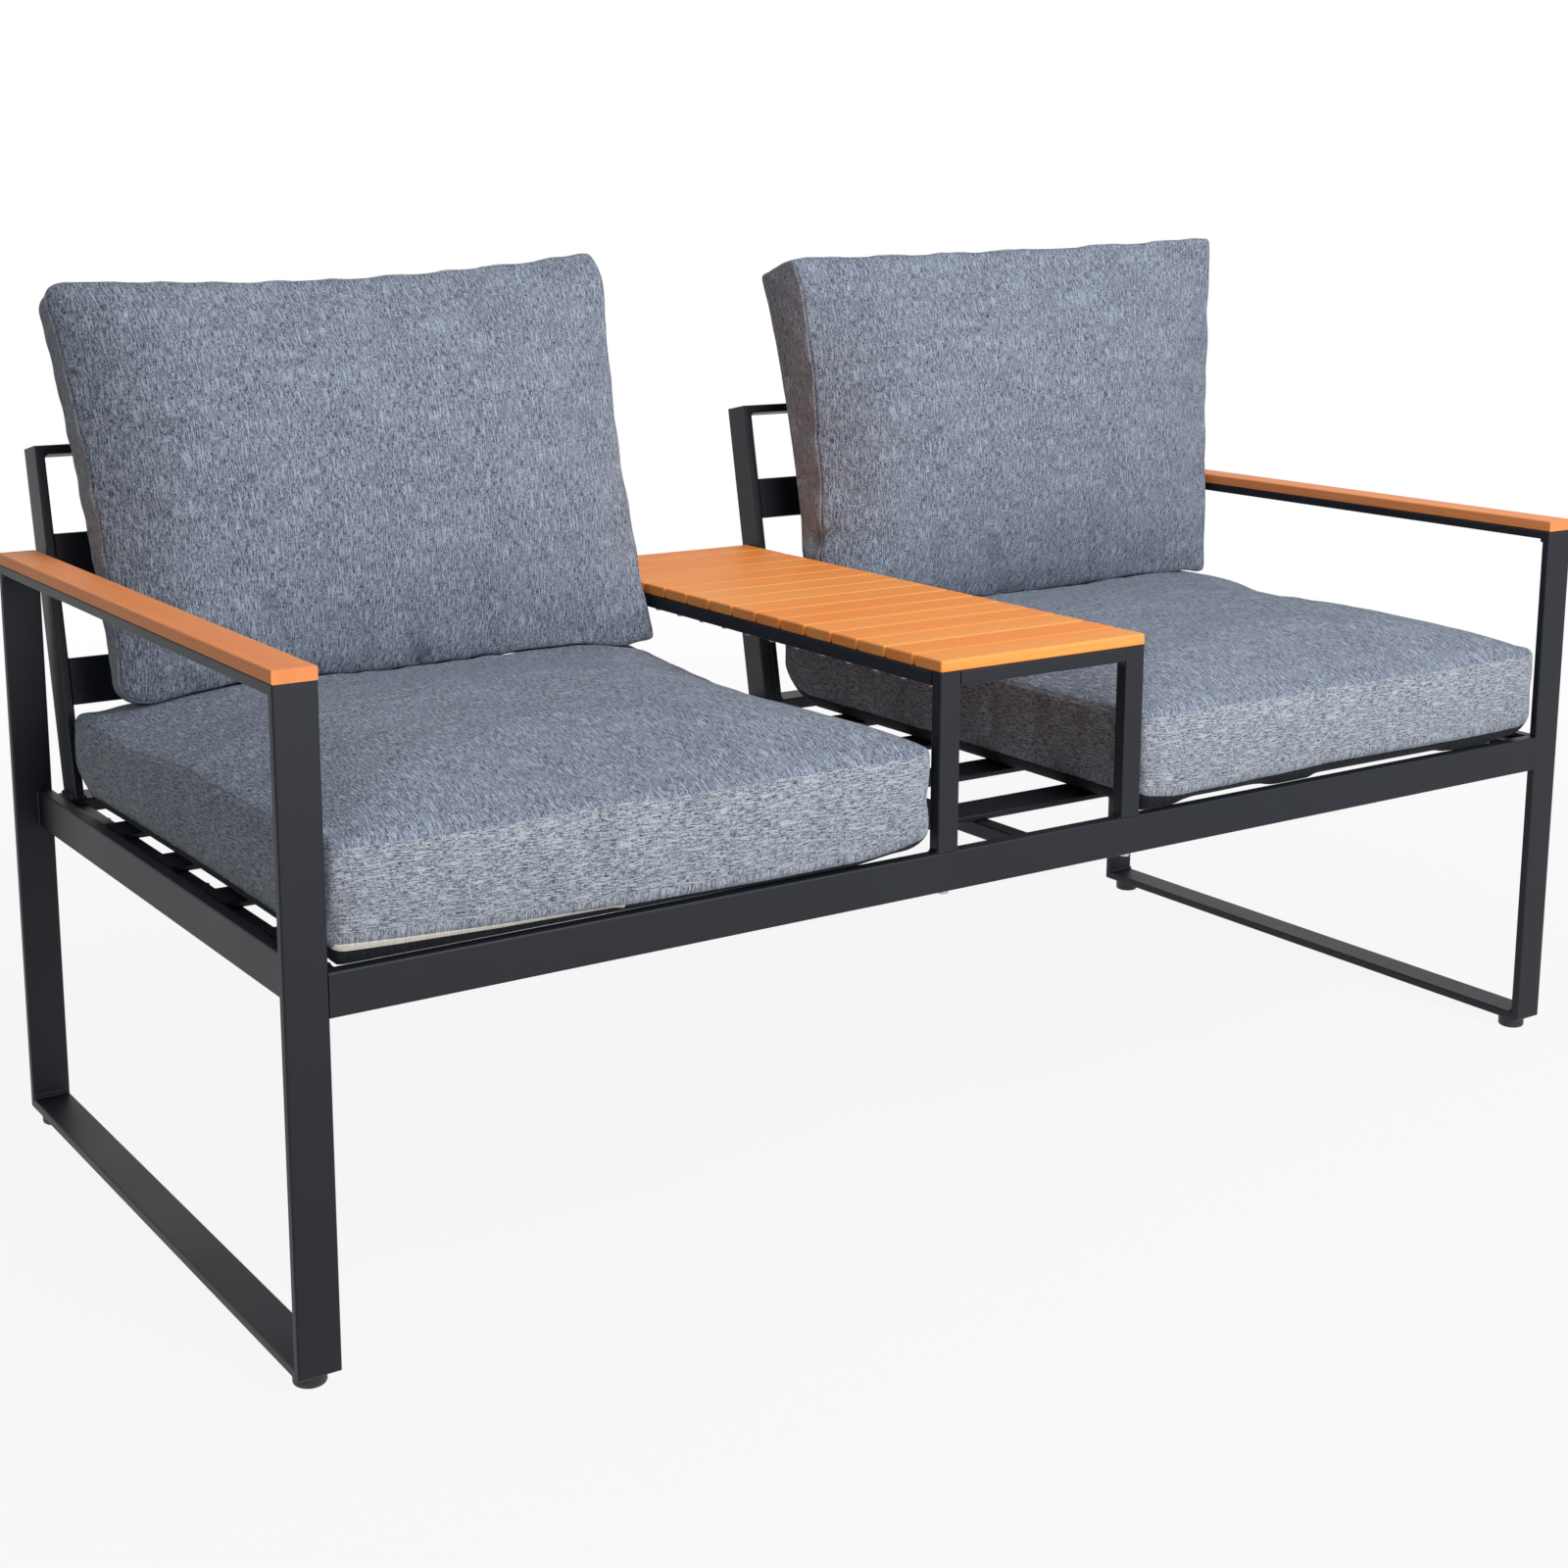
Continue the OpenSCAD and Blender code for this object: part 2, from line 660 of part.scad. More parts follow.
// Heights of a seat cushion's faces, at a place measured from the cushion's middle.
// The lower face lies flat on the deck, its seam stands above it and rises at the rear.
function seat_swell(x, y) = swell(x / (cushion_w / 2), y / (seat_d / 2));
function seat_upper(x, y) = seat_top_z + seat_crown * seat_swell(x, y);
function seat_lower(x, y) =
    let (
        rise = seat_heel * max(0, 1 + (y - seat_d / 2) / heel_l) ^ 2,
        from_seam = max(0, min(cushion_w / 2 - abs(x), seat_d / 2 - abs(y)) - seat_draw)
    )
    rail_z + rise + max(soft_gap, seat_seam * max(0, 1 - from_seam / seat_tuck) ^ 2);

// Box cushion on one seat: crowned faces and a band that swells between its two seams
module seat_cushion(side) {
    edge = cushion_outline(cushion_w / 2, seat_d / 2, seat_r, seat_draw);
    under = [for (t = panel_steps) [for (p = edge * t) [p.x, p.y, seat_lower(p.x, p.y)]]];
    band = [for (s = band_steps) [for (p = edge)
        let (low = seat_lower(p.x, p.y), high = seat_upper(p.x, p.y), out = cushion_gap / 2 * sin(180 * s))
        [p.x + sign(p.x) * out, p.y * (1 + out / seat_d), low + (high - low) * s]]];
    upper = [for (i = [len(panel_steps) - 1:-1:0]) [for (p = edge * panel_steps[i])
        [p.x, p.y, seat_upper(p.x, p.y)]]];
    color(fabric_color) on_floor() translate([side * bay_x, seat_y, 0])
        ring_skin([0, 0, seat_lower(0, 0)], concat(under, band, upper), [0, 0, seat_upper(0, 0)]);
}

// Place of a point of a back cushion: x across from its middle, v up its lean from the lower
// seam and w forward of the rear seam. Its corners have slumped, and the back frame and the
// seat cushion stop it.
function back_place(side, x, v, w) =
    let (
        slump = side < 0 ? left_slump : right_slump,
        across = x / cushion_w + 0.5,
        up = v / back_h,
        low = slump[0] * (1 - across) + slump[1] * across,
        high = slump[2] * (1 - across) + slump[3] * across,
        shift = low * (1 - up) + high * up,
        y = rear_rail_y - back_forward - shift[1] + v * sin(lean) + (back_side_w - w) * cos(lean),
        z = back_bottom_z + shift[2] + v * cos(lean) - (back_side_w - w) * sin(lean),
        seat_z = seat_upper(x, y - seat_y) + rest_gap,
        held_z = max(z, seat_z)
    )
    [side * bay_x + x + shift[0], min(y, back_frame_y(held_z) - soft_gap), held_z];
function back_frame_y(z) = rear_rail_y + (z - rail_z) * tan(lean);

// Box cushion that stands on the seat cushion and leans on the back frame
module back_cushion(side) {
    edge = cushion_outline(cushion_w / 2 - back_trim, back_h / 2, back_r, back_draw);
    function face(p, w, rise) =
        back_place(side, p.x, p.y + back_h / 2,
                   w + rise * swell(p.x / (cushion_w / 2), p.y / (back_h / 2)));
    rear = [for (t = panel_steps) [for (p = edge * t) face(p, 0, -back_swell)]];
    band = [for (s = band_steps) [for (p = edge * (1 + band_swell * sin(180 * s)))
        face(p, back_side_w * s, 0)]];
    front = [for (i = [len(panel_steps) - 1:-1:0]) [for (p = edge * panel_steps[i])
        face(p, back_side_w, back_crown)]];
    color(fabric_color) on_floor() ring_skin(
        face([0, 0], 0, -back_swell), concat(rear, band, front), face([0, 0], back_side_w, back_crown));
}

front_leg(-1);  // left_front_leg
rear_leg(-1);  // left_rear_leg
floor_rail(-1);  // left_floor_rail
arm_rail(-1);  // left_arm_rail
side_rail(-1);  // left_side_rail
front_leg(1);  // right_front_leg
rear_leg(1);  // right_rear_leg
floor_rail(1);  // right_floor_rail
arm_rail(1);  // right_arm_rail
side_rail(1);  // right_side_rail
arm_cap(-1);  // left_arm_cap
arm_cap(1);  // right_arm_cap
foot(-1, foot_inset);  // left_front_foot
foot(-1, frame_d - foot_inset);  // left_rear_foot
foot(1, foot_inset);  // right_front_foot
foot(1, frame_d - foot_inset);  // right_rear_foot
front_rail();
rear_rail();
end_tube_bar(-1);  // left_end_tube
end_tube_bar(1);  // right_end_tube
middle_support();
seat_slat(1);  // seat_slat_1
seat_slat(2);  // seat_slat_2
seat_slat(3);  // seat_slat_3
seat_slat(4);  // seat_slat_4
back_post(-1, post_x, -1);  // left_outer_post
back_post(-1, inner_post_x, 1);  // left_inner_post
top_rail(-1);  // left_top_rail
back_rail(-1, mid_rail_z);  // left_mid_rail
back_rail(-1, low_rail_z);  // left_low_rail
back_post(1, post_x, -1);  // right_outer_post
back_post(1, inner_post_x, 1);  // right_inner_post
top_rail(1);  // right_top_rail
back_rail(1, mid_rail_z);  // right_mid_rail
back_rail(1, low_rail_z);  // right_low_rail
table_leg(-1);  // left_table_leg
table_leg(1);  // right_table_leg
table_strut(-1);  // left_table_strut
table_strut(1);  // right_table_strut
table_rail(-1);  // left_table_rail
table_rail(1);  // right_table_rail
table_front_rail();
table_rear_rail();
table_planks();
seat_cushion(-1);  // left_seat_cushion
seat_cushion(1);  // right_seat_cushion
back_cushion(-1);  // left_back_cushion
back_cushion(1);  // right_back_cushion
deck_bolts();
deck_nuts();
front_leg_bolts();
strut_bolts();
leg_plugs();
strut_plugs();
plank_screws();
cap_screws();
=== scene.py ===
# %% [markdown]
# # A porch sofa with a slatted table between its seats
# This file is a lesson in cells. The sofa's hard parts come from its CAD model and stay as they are.
# Blender adds what a CAD model lacks: soft cushions, weld beads, paint, wood grain and woven cloth.

# %% Load the CAD model
import math

import bmesh
import bpy
import numpy as np
from mathutils import Matrix, Vector
from mathutils.bvhtree import BVHTree


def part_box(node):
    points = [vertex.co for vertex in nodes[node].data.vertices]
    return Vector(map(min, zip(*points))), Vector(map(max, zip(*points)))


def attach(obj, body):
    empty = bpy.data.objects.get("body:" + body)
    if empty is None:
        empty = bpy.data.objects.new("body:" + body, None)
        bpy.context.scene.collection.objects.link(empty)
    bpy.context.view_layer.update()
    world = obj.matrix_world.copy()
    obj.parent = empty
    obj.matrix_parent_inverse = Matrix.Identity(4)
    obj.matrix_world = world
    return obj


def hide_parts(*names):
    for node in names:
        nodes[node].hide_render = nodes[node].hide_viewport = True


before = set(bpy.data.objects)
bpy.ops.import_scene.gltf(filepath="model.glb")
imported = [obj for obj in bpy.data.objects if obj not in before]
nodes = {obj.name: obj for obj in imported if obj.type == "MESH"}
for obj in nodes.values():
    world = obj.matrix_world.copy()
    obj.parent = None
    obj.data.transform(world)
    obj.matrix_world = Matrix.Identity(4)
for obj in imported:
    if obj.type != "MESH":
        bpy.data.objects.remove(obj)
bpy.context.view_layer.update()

# %% [markdown]
# ## Where things are
# The drawing of the sofa counts millimetres back from the front faces of its legs.
# Blender counts metres from the middle of the sofa, so one helper changes the first into the second.

# %% From the drawing's millimetres to Blender's metres
front_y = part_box("left_front_leg")[0].y


def place(points):
    """Points in millimetres, with Y counted from the legs' front faces, as Blender's metres."""
    return np.asarray(points, float) / 1000 + [0, front_y, 0]


print(f"the legs' front faces are at y = {front_y:.4f} m")

# %% [markdown]
# ## The camera
# The photograph was taken from the sofa's front left, from standing height, and looks slightly down.
# The place, the three angles and the lens were worked out from the sofa's corners in the
# photograph. A Blender camera looks straight down until it is tilted up by 90 degrees.

# %% Camera
PHOTO_SIDE = 1600
SENSOR_WIDTH = 36
focal_pixels = 2381
picture_centre = (795.2, 665.0)
camera_place = place([-1501.0, -1724.4, 1000.9])
camera_turn, camera_tilt, camera_roll = -34.38, -11.08, 0.195

lens = bpy.data.cameras.new("camera")
lens.sensor_width = SENSOR_WIDTH
lens.lens = SENSOR_WIDTH * focal_pixels / PHOTO_SIDE
lens.shift_x = (PHOTO_SIDE / 2 - picture_centre[0]) / PHOTO_SIDE
lens.shift_y = (picture_centre[1] - PHOTO_SIDE / 2) / PHOTO_SIDE
camera = bpy.data.objects.new("camera", lens)
camera.matrix_world = (
    Matrix.Translation(camera_place)
    @ Matrix.Rotation(math.radians(camera_turn), 4, "Z")
    @ Matrix.Rotation(math.radians(90 + camera_tilt), 4, "X")
    @ Matrix.Rotation(math.radians(camera_roll), 4, "Z")
)
bpy.context.scene.collection.objects.link(camera)
bpy.context.scene.camera = camera
print(f"lens {lens.lens:.1f} mm, shift {lens.shift_x:.4f} {lens.shift_y:.4f}")

# %% [markdown]
# ## Patterns as sums
# A procedural material is a sum of patterns. Blender's nodes do such sums, but wiring them by hand
# is slow to read. This class wraps one output of a node, so that `grain * 0.3 + 0.5` builds the nodes.

# %% A class that writes node sums


class Pattern:
    """A value, colour or vector that varies over a surface: an output of a shader node."""

    def __init__(self, tree, socket=None):
        self.tree = tree
        self.socket = socket

    def feed(self, target, value):
        if isinstance(value, Pattern):
            self.tree.links.new(value.socket, target)
        else:
            target.default_value = value

    def node(self, kind, settings, sockets, result=0):
        """A new node: its settings come first, then a value or a link for each socket."""
        made = self.tree.nodes.new("ShaderNode" + kind)
        for name, value in settings.items():
            setattr(made, name, value)
        for where, value in sockets.items():
            self.feed(made.inputs[where], value)
        return Pattern(self.tree, made.outputs[result])

    def math(self, operation, *values):
        return self.node("Math", {"operation": operation}, dict(enumerate(values)))

    def __add__(self, other):
        return self.math("ADD", self, other)

    def __radd__(self, other):
        return self.math("ADD", other, self)

    def __sub__(self, other):
        return self.math("SUBTRACT", self, other)

    def __rsub__(self, other):
        return self.math("SUBTRACT", other, self)

    def __mul__(self, other):
        return self.math("MULTIPLY", self, other)

    def __rmul__(self, other):
        return self.math("MULTIPLY", other, self)

    def sine(self):
        return self.math("SINE", self)

    def least(self, other):
        return self.math("MINIMUM", self, other)

    def rise(self, start, end):
        """0 up to start, 1 from end, and smooth between them."""
        ends = {"Value": self, "From Min": start, "From Max": end}
        return self.node("MapRange", {"interpolation_type": "SMOOTHSTEP"}, ends)

    def blend(self, low, high):
        """A colour that goes from low, where this is 0, to high, where it is 1."""
        factor, first, second, result = 0, 6, 7, 2
        colours = [c if isinstance(c, Pattern) else (*c, 1) for c in (low, high)]
        sockets = {factor: self, first: colours[0], second: colours[1]}
        return self.node("Mix", {"data_type": "RGBA"}, sockets, result)

    def part(self, axis):
        """One number of a vector."""
        return self.node("SeparateXYZ", {}, {0: self}, axis)

    def length(self):
        return self.node("VectorMath", {"operation": "LENGTH"}, {0: self}, "Value")

    def stretched(self, x, y, z):
        """A vector with each part multiplied, which makes a pattern finer along that axis."""
        return self.node("Mapping", {}, {"Vector": self, "Scale": (x, y, z)})

    def noise(self, scale=1.0, detail=2.0, roughness=0.5):
        """Soft random clouds, around 0.5."""
        values = {"Vector": self, "Scale": scale, "Detail": detail, "Roughness": roughness}
        return self.node("TexNoise", {}, values)


def srgb(red, green, blue):
    """A colour as a picture stores it, from 0 to 255, as the linear colour that Blender counts in."""
    shares = [c / 255 for c in (red, green, blue)]
    return tuple(s / 12.92 if s <= 0.04045 else ((s + 0.055) / 1.055) ** 2.4 for s in shares)


class Finish:
    """A material under construction, with its main shader and the patterns that it may start from."""

    def __init__(self, name):
        self.material = bpy.data.materials.new(name)
        self.material.use_nodes = True
        self.tree = self.material.node_tree
        self.shader = self.tree.nodes["Principled BSDF"]
        self.start = Pattern(self.tree)

    def coordinates(self):
        """The place in the object, in metres."""
        return self.start.node("TexCoord", {}, {}, "Object")

    def cloth_coordinates(self):
        """The place on the cut cloth, in metres, from the piece's own UV map."""
        return self.start.node("UVMap", {"uv_map": "cloth"}, {})

    def attribute(self, name):
        return self.start.node("Attribute", {"attribute_name": name}, {}, "Fac")

    def steady(self, **values):
        """Sets inputs of the shader that are the same all over."""
        for name, value in values.items():
            self.shader.inputs[name.replace("_", " ")].default_value = value

    def varying(self, **values):
        """Sets inputs of the shader that vary over the surface."""
        for name, value in values.items():
            self.start.feed(self.shader.inputs[name.replace("_", " ")], value)

    def relief(self, height, depth):
        """Bumps of a depth in metres, where height goes from 0 to 1."""
        bumps = self.start.node("Bump", {}, {"Distance": depth, "Height": height}, "Normal")
        self.start.feed(self.shader.inputs["Normal"], bumps)


print("patterns are ready")

# %% [markdown]
# ## Frame paint
# The aluminium tubes are powder coated in a charcoal black. Powder melts into a skin with a very fine
# orange-peel relief and a soft, wide shine. Large faint clouds keep the faces from looking printed.

# %% Frame paint
paint = Finish("frame_paint")
spot = paint.coordinates()
peel = spot.noise(scale=900, detail=3)
clouds = spot.noise(scale=7)
dust = spot.noise(scale=2600, detail=1).rise(0.62, 0.72)
paint.varying(
    Base_Color=(clouds * 0.5 + dust * 0.3).blend(srgb(13, 17, 25), srgb(25, 30, 39)),
    Roughness=clouds * 0.12 + 0.42,
)
paint.steady(Specular_IOR_Level=0.3)
paint.relief(peel, depth=0.00005)
print("frame paint:", len(paint.tree.nodes), "nodes")

# %% [markdown]
# ## Slat wood
# The slats and arm caps are wood-look planks, brushed along their length: long fine grain lines, a
# slow change of tone, and each board a little lighter or darker than the next.

# %% Slat wood
GRAIN_LINES = 1400


def slat_wood(name, along, dark, light):
    """Wood-look plank. along puts two stretches of a pattern in the order x, y, z: a small one for
    the way the grain runs, and a large one across it."""
    wood = Finish(name)
    spot = wood.coordinates()
    fine = spot.stretched(*along(9, 500)).noise(detail=3)
    broad = spot.stretched(*along(2, 40)).noise()
    lines = spot.stretched(*along(5, GRAIN_LINES)).noise(detail=1)
    board = wood.attribute("board")
    tone = fine * 0.6 + broad * 0.5 + board * 0.3 - 0.2
    warm = tone.rise(0.1, 0.9).blend(dark, light)
    grain = lines.rise(0.58, 0.75) * 0.25
    wood.varying(
        Base_Color=grain.blend(warm, srgb(224, 116, 50)),
        Roughness=fine * 0.2 + 0.42,
    )
    wood.steady(Specular_IOR_Level=0.25)
    wood.relief(lines * 0.6 + fine * 0.4, depth=0.00015)
    print(f"{name}: {len(wood.tree.nodes)} nodes")
    return wood


table_wood = slat_wood(
    "slat_wood_across", lambda low, high: (low, high, high), srgb(253, 146, 64), srgb(255, 172, 90)
)
arm_wood = slat_wood(
    "slat_wood_along", lambda low, high: (high, low, high), srgb(238, 142, 80), srgb(252, 168, 106)
)

# %% [markdown]
# ## Feet and fasteners
# The feet are moulded black plastic, with a faint haze of scuffs near the floor.
# The bolts, nuts and screws are zinc-plated steel, brushed and slightly bluish.

# %% Foot plastic and zinc steel
plastic = Finish("foot_plastic")
spot = plastic.coordinates()
scuffs = spot.stretched(60, 60, 400).noise(detail=3)
height = spot.part(2)
worn = (1 - height.rise(0.0, 0.006)) * scuffs.rise(0.45, 0.7)
plastic.varying(
    Base_Color=worn.blend(srgb(26, 26, 27), srgb(92, 92, 92)),
    Roughness=scuffs * 0.2 + 0.42,
)
plastic.relief(spot.noise(scale=1500), depth=0.00005)

steel = Finish("zinc_steel")
spot = steel.coordinates()
brushed = spot.stretched(300, 300, 4000).noise(detail=2)
steel.varying(
    Base_Color=brushed.blend(srgb(150, 152, 158), srgb(200, 202, 206)),
    Roughness=brushed * 0.2 + 0.25,
)
steel.steady(Metallic=1.0)
steel.relief(brushed, depth=0.00003)
print("foot plastic and zinc steel are ready")

# %% [markdown]
# ## Cushion cloth
# The cloth is woven from mottled yarn: each yarn changes from pale grey to blue black every few
# millimetres, so the cloth shows light and dark streaks along the warp. The UV map holds the place
# on the flat cloth in metres, with V along the warp. The bands are cut across, with their yarns
# sideways. An attribute marks their faces, where the cloth is painted a little paler as a painted
# sheen, standing in for the light that sideways yarns catch.
# The same weave in cream lines the underside, and in near black it is painted shade, for the shadow
# under the hem where the cloth is turned under.

# %% Cushion cloth
YARN = 0.0011


def woven(name, dark, light, band_painted_sheen):
    """Plain weave of mottled yarn, with the warp along V, and a painted sheen that makes band faces
    paler.
    """
    cloth = Finish(name)
    flat = cloth.cloth_coordinates()

    def flecks(width, length, **settings):
        """Random spots of a width and a length in metres."""
        return flat.stretched(1 / width, 1 / length, 1).noise(**settings)

    warp = flecks(YARN, 0.009, roughness=0.6)
    fine = flecks(0.0007, 0.003, detail=1)
    weft = flecks(0.006, 0.0010, detail=1)
    streaks = flecks(0.0018, 0.025, detail=1).rise(0.5, 0.8)
    patches = flat.noise(scale=18)
    across = (flat.part(0) * (math.tau / YARN)).sine()
    along = (flat.part(1) * (math.tau / YARN)).sine()
    over = (across * along * 0.5 + 0.5).rise(0.2, 0.8)
    sheen_band_mask = cloth.attribute("painted_sheen_band")
    tone = warp * 1.8 + fine * 1.4 + weft * 0.6 + streaks * 0.5 + patches * 0.2 - 1.55
    # painted sheen: band faces get a paler tone and colour, standing in for light caught by sideways
    # yarns
    tone = tone + sheen_band_mask * 0.06
    cloth.varying(
        Base_Color=tone.rise(0.0, 1.0).blend(dark, sheen_band_mask.blend(light, band_painted_sheen)),
        Roughness=0.9 - warp * 0.1,
    )
    cloth.steady(Specular_IOR_Level=0.12, Sheen_Weight=0.05, Sheen_Roughness=0.5)
    cloth.relief(over * 0.5 + warp * 0.2 + fine * 0.3, depth=0.00014)
    print(f"{name}: {len(cloth.tree.nodes)} nodes")
    return cloth


fabric = woven("cushion_fabric", srgb(58, 65, 80), srgb(171, 181, 198), srgb(183, 189, 199))
lining = woven("cushion_lining", srgb(206, 200, 188), srgb(232, 228, 216), srgb(232, 228, 216))
# painted shade: a near-black cloth that stands for the shadow in the gap under the seat cushions' hem
painted_shade_cloth = woven("cushion_painted_shade", srgb(18, 20, 24), srgb(40, 43, 50), srgb(40, 43, 50))

# %% [markdown]
# ## Dress the CAD nodes
# The CAD tubes, caps, feet and fasteners have the right shape, so they only take a finish.

# %% Give each CAD node its finish
WOOD = {"left_arm_cap", "right_arm_cap"}
STEEL = {"deck_bolts", "deck_nuts", "front_leg_bolts", "strut_bolts", "leg_plugs", "strut_plugs"}
STEEL |= {"plank_screws", "cap_screws"}
for name, node in nodes.items():
    if name in WOOD:
        finish = arm_wood
    elif name in STEEL:
        finish = steel
    elif name.endswith("_foot"):
        finish = plastic
    else:
        finish = paint
    for slot in node.material_slots:
        slot.material = finish.material
print("finished CAD nodes:", len(nodes))

# %% [markdown]
# ## Pieces made by Geometry Nodes
# What repeats is made by a node tree, as a rule and not as a drawing. Three helpers do the common
# work: one makes a tree with named inputs, one adds a node, and one runs the tree once and keeps the
# result as a plain mesh.

# %% Helpers for Geometry Nodes


def new_tree(title, **inputs):
    """A geometry tree with named inputs, its input node and the socket that takes its result."""
    tree = bpy.data.node_groups.new(title, "GeometryNodeTree")
    for name, kind in {"Start": "Geometry", **inputs}.items():
        tree.interface.new_socket(name, in_out="INPUT", socket_type="NodeSocket" + kind)
    tree.interface.new_socket("Mesh", in_out="OUTPUT", socket_type="NodeSocketGeometry")
    given = tree.nodes.new("NodeGroupInput")
    return tree, given.outputs, tree.nodes.new("NodeGroupOutput").inputs["Mesh"]


def add(tree, kind, settings, result, **inputs):
    """A node's output. An input is an output of another node, or a plain value."""
    node = tree.nodes.new(kind)
    for name, value in settings.items():
        setattr(node, name, value)
    for name, value in inputs.items():
        title = name.replace("_", " ")
        target = [s for s in node.inputs if s.name == title and s.enabled][0]
        if isinstance(value, bpy.types.NodeSocket):
            tree.links.new(value, target)
        else:
            target.default_value = value
    return [s for s in node.outputs if s.name == result and s.enabled][0]


def run_tree(name, start, tree, values, body):
    """Runs a tree on a start mesh and keeps what it makes as a mesh that rides on a body."""
    maker = bpy.data.objects.new(name + "_maker", start)
    bpy.context.scene.collection.objects.link(maker)
    modifier = maker.modifiers.new("tree", "NODES")
    modifier.node_group = tree
    for item in tree.interface.items_tree:
        if item.in_out == "INPUT" and item.name in values:
            modifier[item.identifier] = values[item.name]
    evaluated = maker.evaluated_get(bpy.context.evaluated_depsgraph_get())
    mesh = bpy.data.meshes.new_from_object(evaluated)
    bpy.data.objects.remove(maker)
    piece = bpy.data.objects.new(name, mesh)
    bpy.context.scene.collection.objects.link(piece)
    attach(piece, body)
    print(f"{name}: {len(mesh.polygons)} faces")
    return piece


# %% [markdown]
# ## Table slats
# Sixteen boards lie across the table, 3 mm apart. One board with softly rounded edges is drawn once.
# The tree puts it on a row of points and gives each copy its own shade number for the wood.

# %% One table slat
SLAT_COUNT = 16
SLAT_GAP = 0.003
SLAT_ROUND = 0.0022
low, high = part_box("table_planks")
slat_pitch = (high.y - low.y + SLAT_GAP) / SLAT_COUNT
slat_size = Vector((high.x - low.x, slat_pitch - SLAT_GAP, high.z - low.z))


def rounded_box(name, size, radius):
    """A box around its own middle, with every edge rounded."""
    shape = bmesh.new()
    bmesh.ops.create_cube(shape, size=1)
    bmesh.ops.scale(shape, vec=size, verts=shape.verts)
    bmesh.ops.bevel(
        shape, geom=shape.edges[:], offset=radius, segments=3, profile=0.5, affect="EDGES"
    )
    mesh = bpy.data.meshes.new(name)
    shape.to_mesh(mesh)
    shape.free()
    return bpy.data.objects.new(name, mesh)


slat = rounded_box("one_slat", slat_size, SLAT_ROUND)
print("a slat measures", [round(1000 * s, 1) for s in slat_size], "mm")

# %% The row of table slats
tree, given, made = new_tree(
    "slat row", Slat="Object", Count="Int", First="Vector", Pitch="Vector", Wood="Material"
)
points = add(
    tree, "GeometryNodeMeshLine", {"mode": "OFFSET"}, "Mesh",
    Count=given["Count"], Start_Location=given["First"], Offset=given["Pitch"],
)
board = add(tree, "GeometryNodeObjectInfo", {}, "Geometry", Object=given["Slat"])
copies = add(tree, "GeometryNodeInstanceOnPoints", {}, "Instances", Points=points, Instance=board)
shade = add(tree, "FunctionNodeRandomValue", {"data_type": "FLOAT"}, "Value", Seed=4)
marked = add(
    tree, "GeometryNodeStoreNamedAttribute", {"data_type": "FLOAT", "domain": "INSTANCE"},
    "Geometry", Geometry=copies, Name="board", Value=shade,
)
real = add(tree, "GeometryNodeRealizeInstances", {}, "Geometry", Geometry=marked)
dressed = add(
    tree, "GeometryNodeSetMaterial", {}, "Geometry", Geometry=real, Material=given["Wood"]
)
tree.links.new(dressed, made)
slats = run_tree(
    "table_slats", bpy.data.meshes.new("no_start"), tree,
    {
        "Slat": slat,
        "Count": SLAT_COUNT,
        "First": ((low.x + high.x) / 2, low.y + slat_size.y / 2, (low.z + high.z) / 2),
        "Pitch": (0, slat_pitch, 0),
        "Wood": table_wood.material,
    },
    "frame",
)
bpy.data.objects.remove(slat)
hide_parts("table_planks")

# %% [markdown]
# ## Weld beads
# The frame's tubes are welded, and a weld is a row of small overlapping ripples under the paint.
# Each weld is drawn as a straight edge. The tree lays ripples along every edge, 2.4 mm apart and of
# uneven size, so that a new weld costs only one more edge.
#
# The sizes are the drawing's. RING is a side frame's loop of tube. POST_WELD says where the welds at
# a post's foot start and end behind the rear rail's front face, and BACK_RAIL_WELD how far below a
# back rail's upper edge its welds start and end.

# %% Where the welds are
RAIL_Z = 370.0
INNER_X = 770.0
TABLE_X = 132.5
REAR_RAIL_Y = 670.0
LEAN = math.radians(11.2)
RING_W, RING_T = 40.0, 10.0
RING_LOW, RING_HIGH = 24.0, 607.0
RING_REAR = 730.0
SIDE_RAIL_T = 15.0
SIDE_RAIL_LOW = 330.0
POST_T = 10.0
POST_PLAY = 6.0
POST_WELD = 4.0, 37.0
BACK_RAIL_TOPS = 517.0, 647.0
BACK_RAIL_WELD = 46.0, 3.0
BEHIND_RAILS = 11.5
BEAD = 1.6
INSET = 3.0


def back_frame_y(z):
    """The plane of the back frames' front faces."""
    return REAR_RAIL_Y + (z - RAIL_Z) * math.tan(LEAN)


def ring_welds(side):
    """Across each corner of a side frame, and up both ends of its side rail."""
    ring = side * (INNER_X + INSET), side * (INNER_X + RING_W - INSET)
    rail_x = side * (INNER_X + SIDE_RAIL_T + BEAD / 2)
    for leg_y, inward in ((RING_T, 1), (RING_REAR, -1)):
        y = leg_y + inward * BEAD
        for z in (RING_LOW + BEAD, RING_HIGH - BEAD):
            yield (ring[0], y, z), (ring[1], y, z)
        y = leg_y + inward * BEAD / 2
        yield (rail_x, y, SIDE_RAIL_LOW + INSET), (rail_x, y, RAIL_Z - INSET)


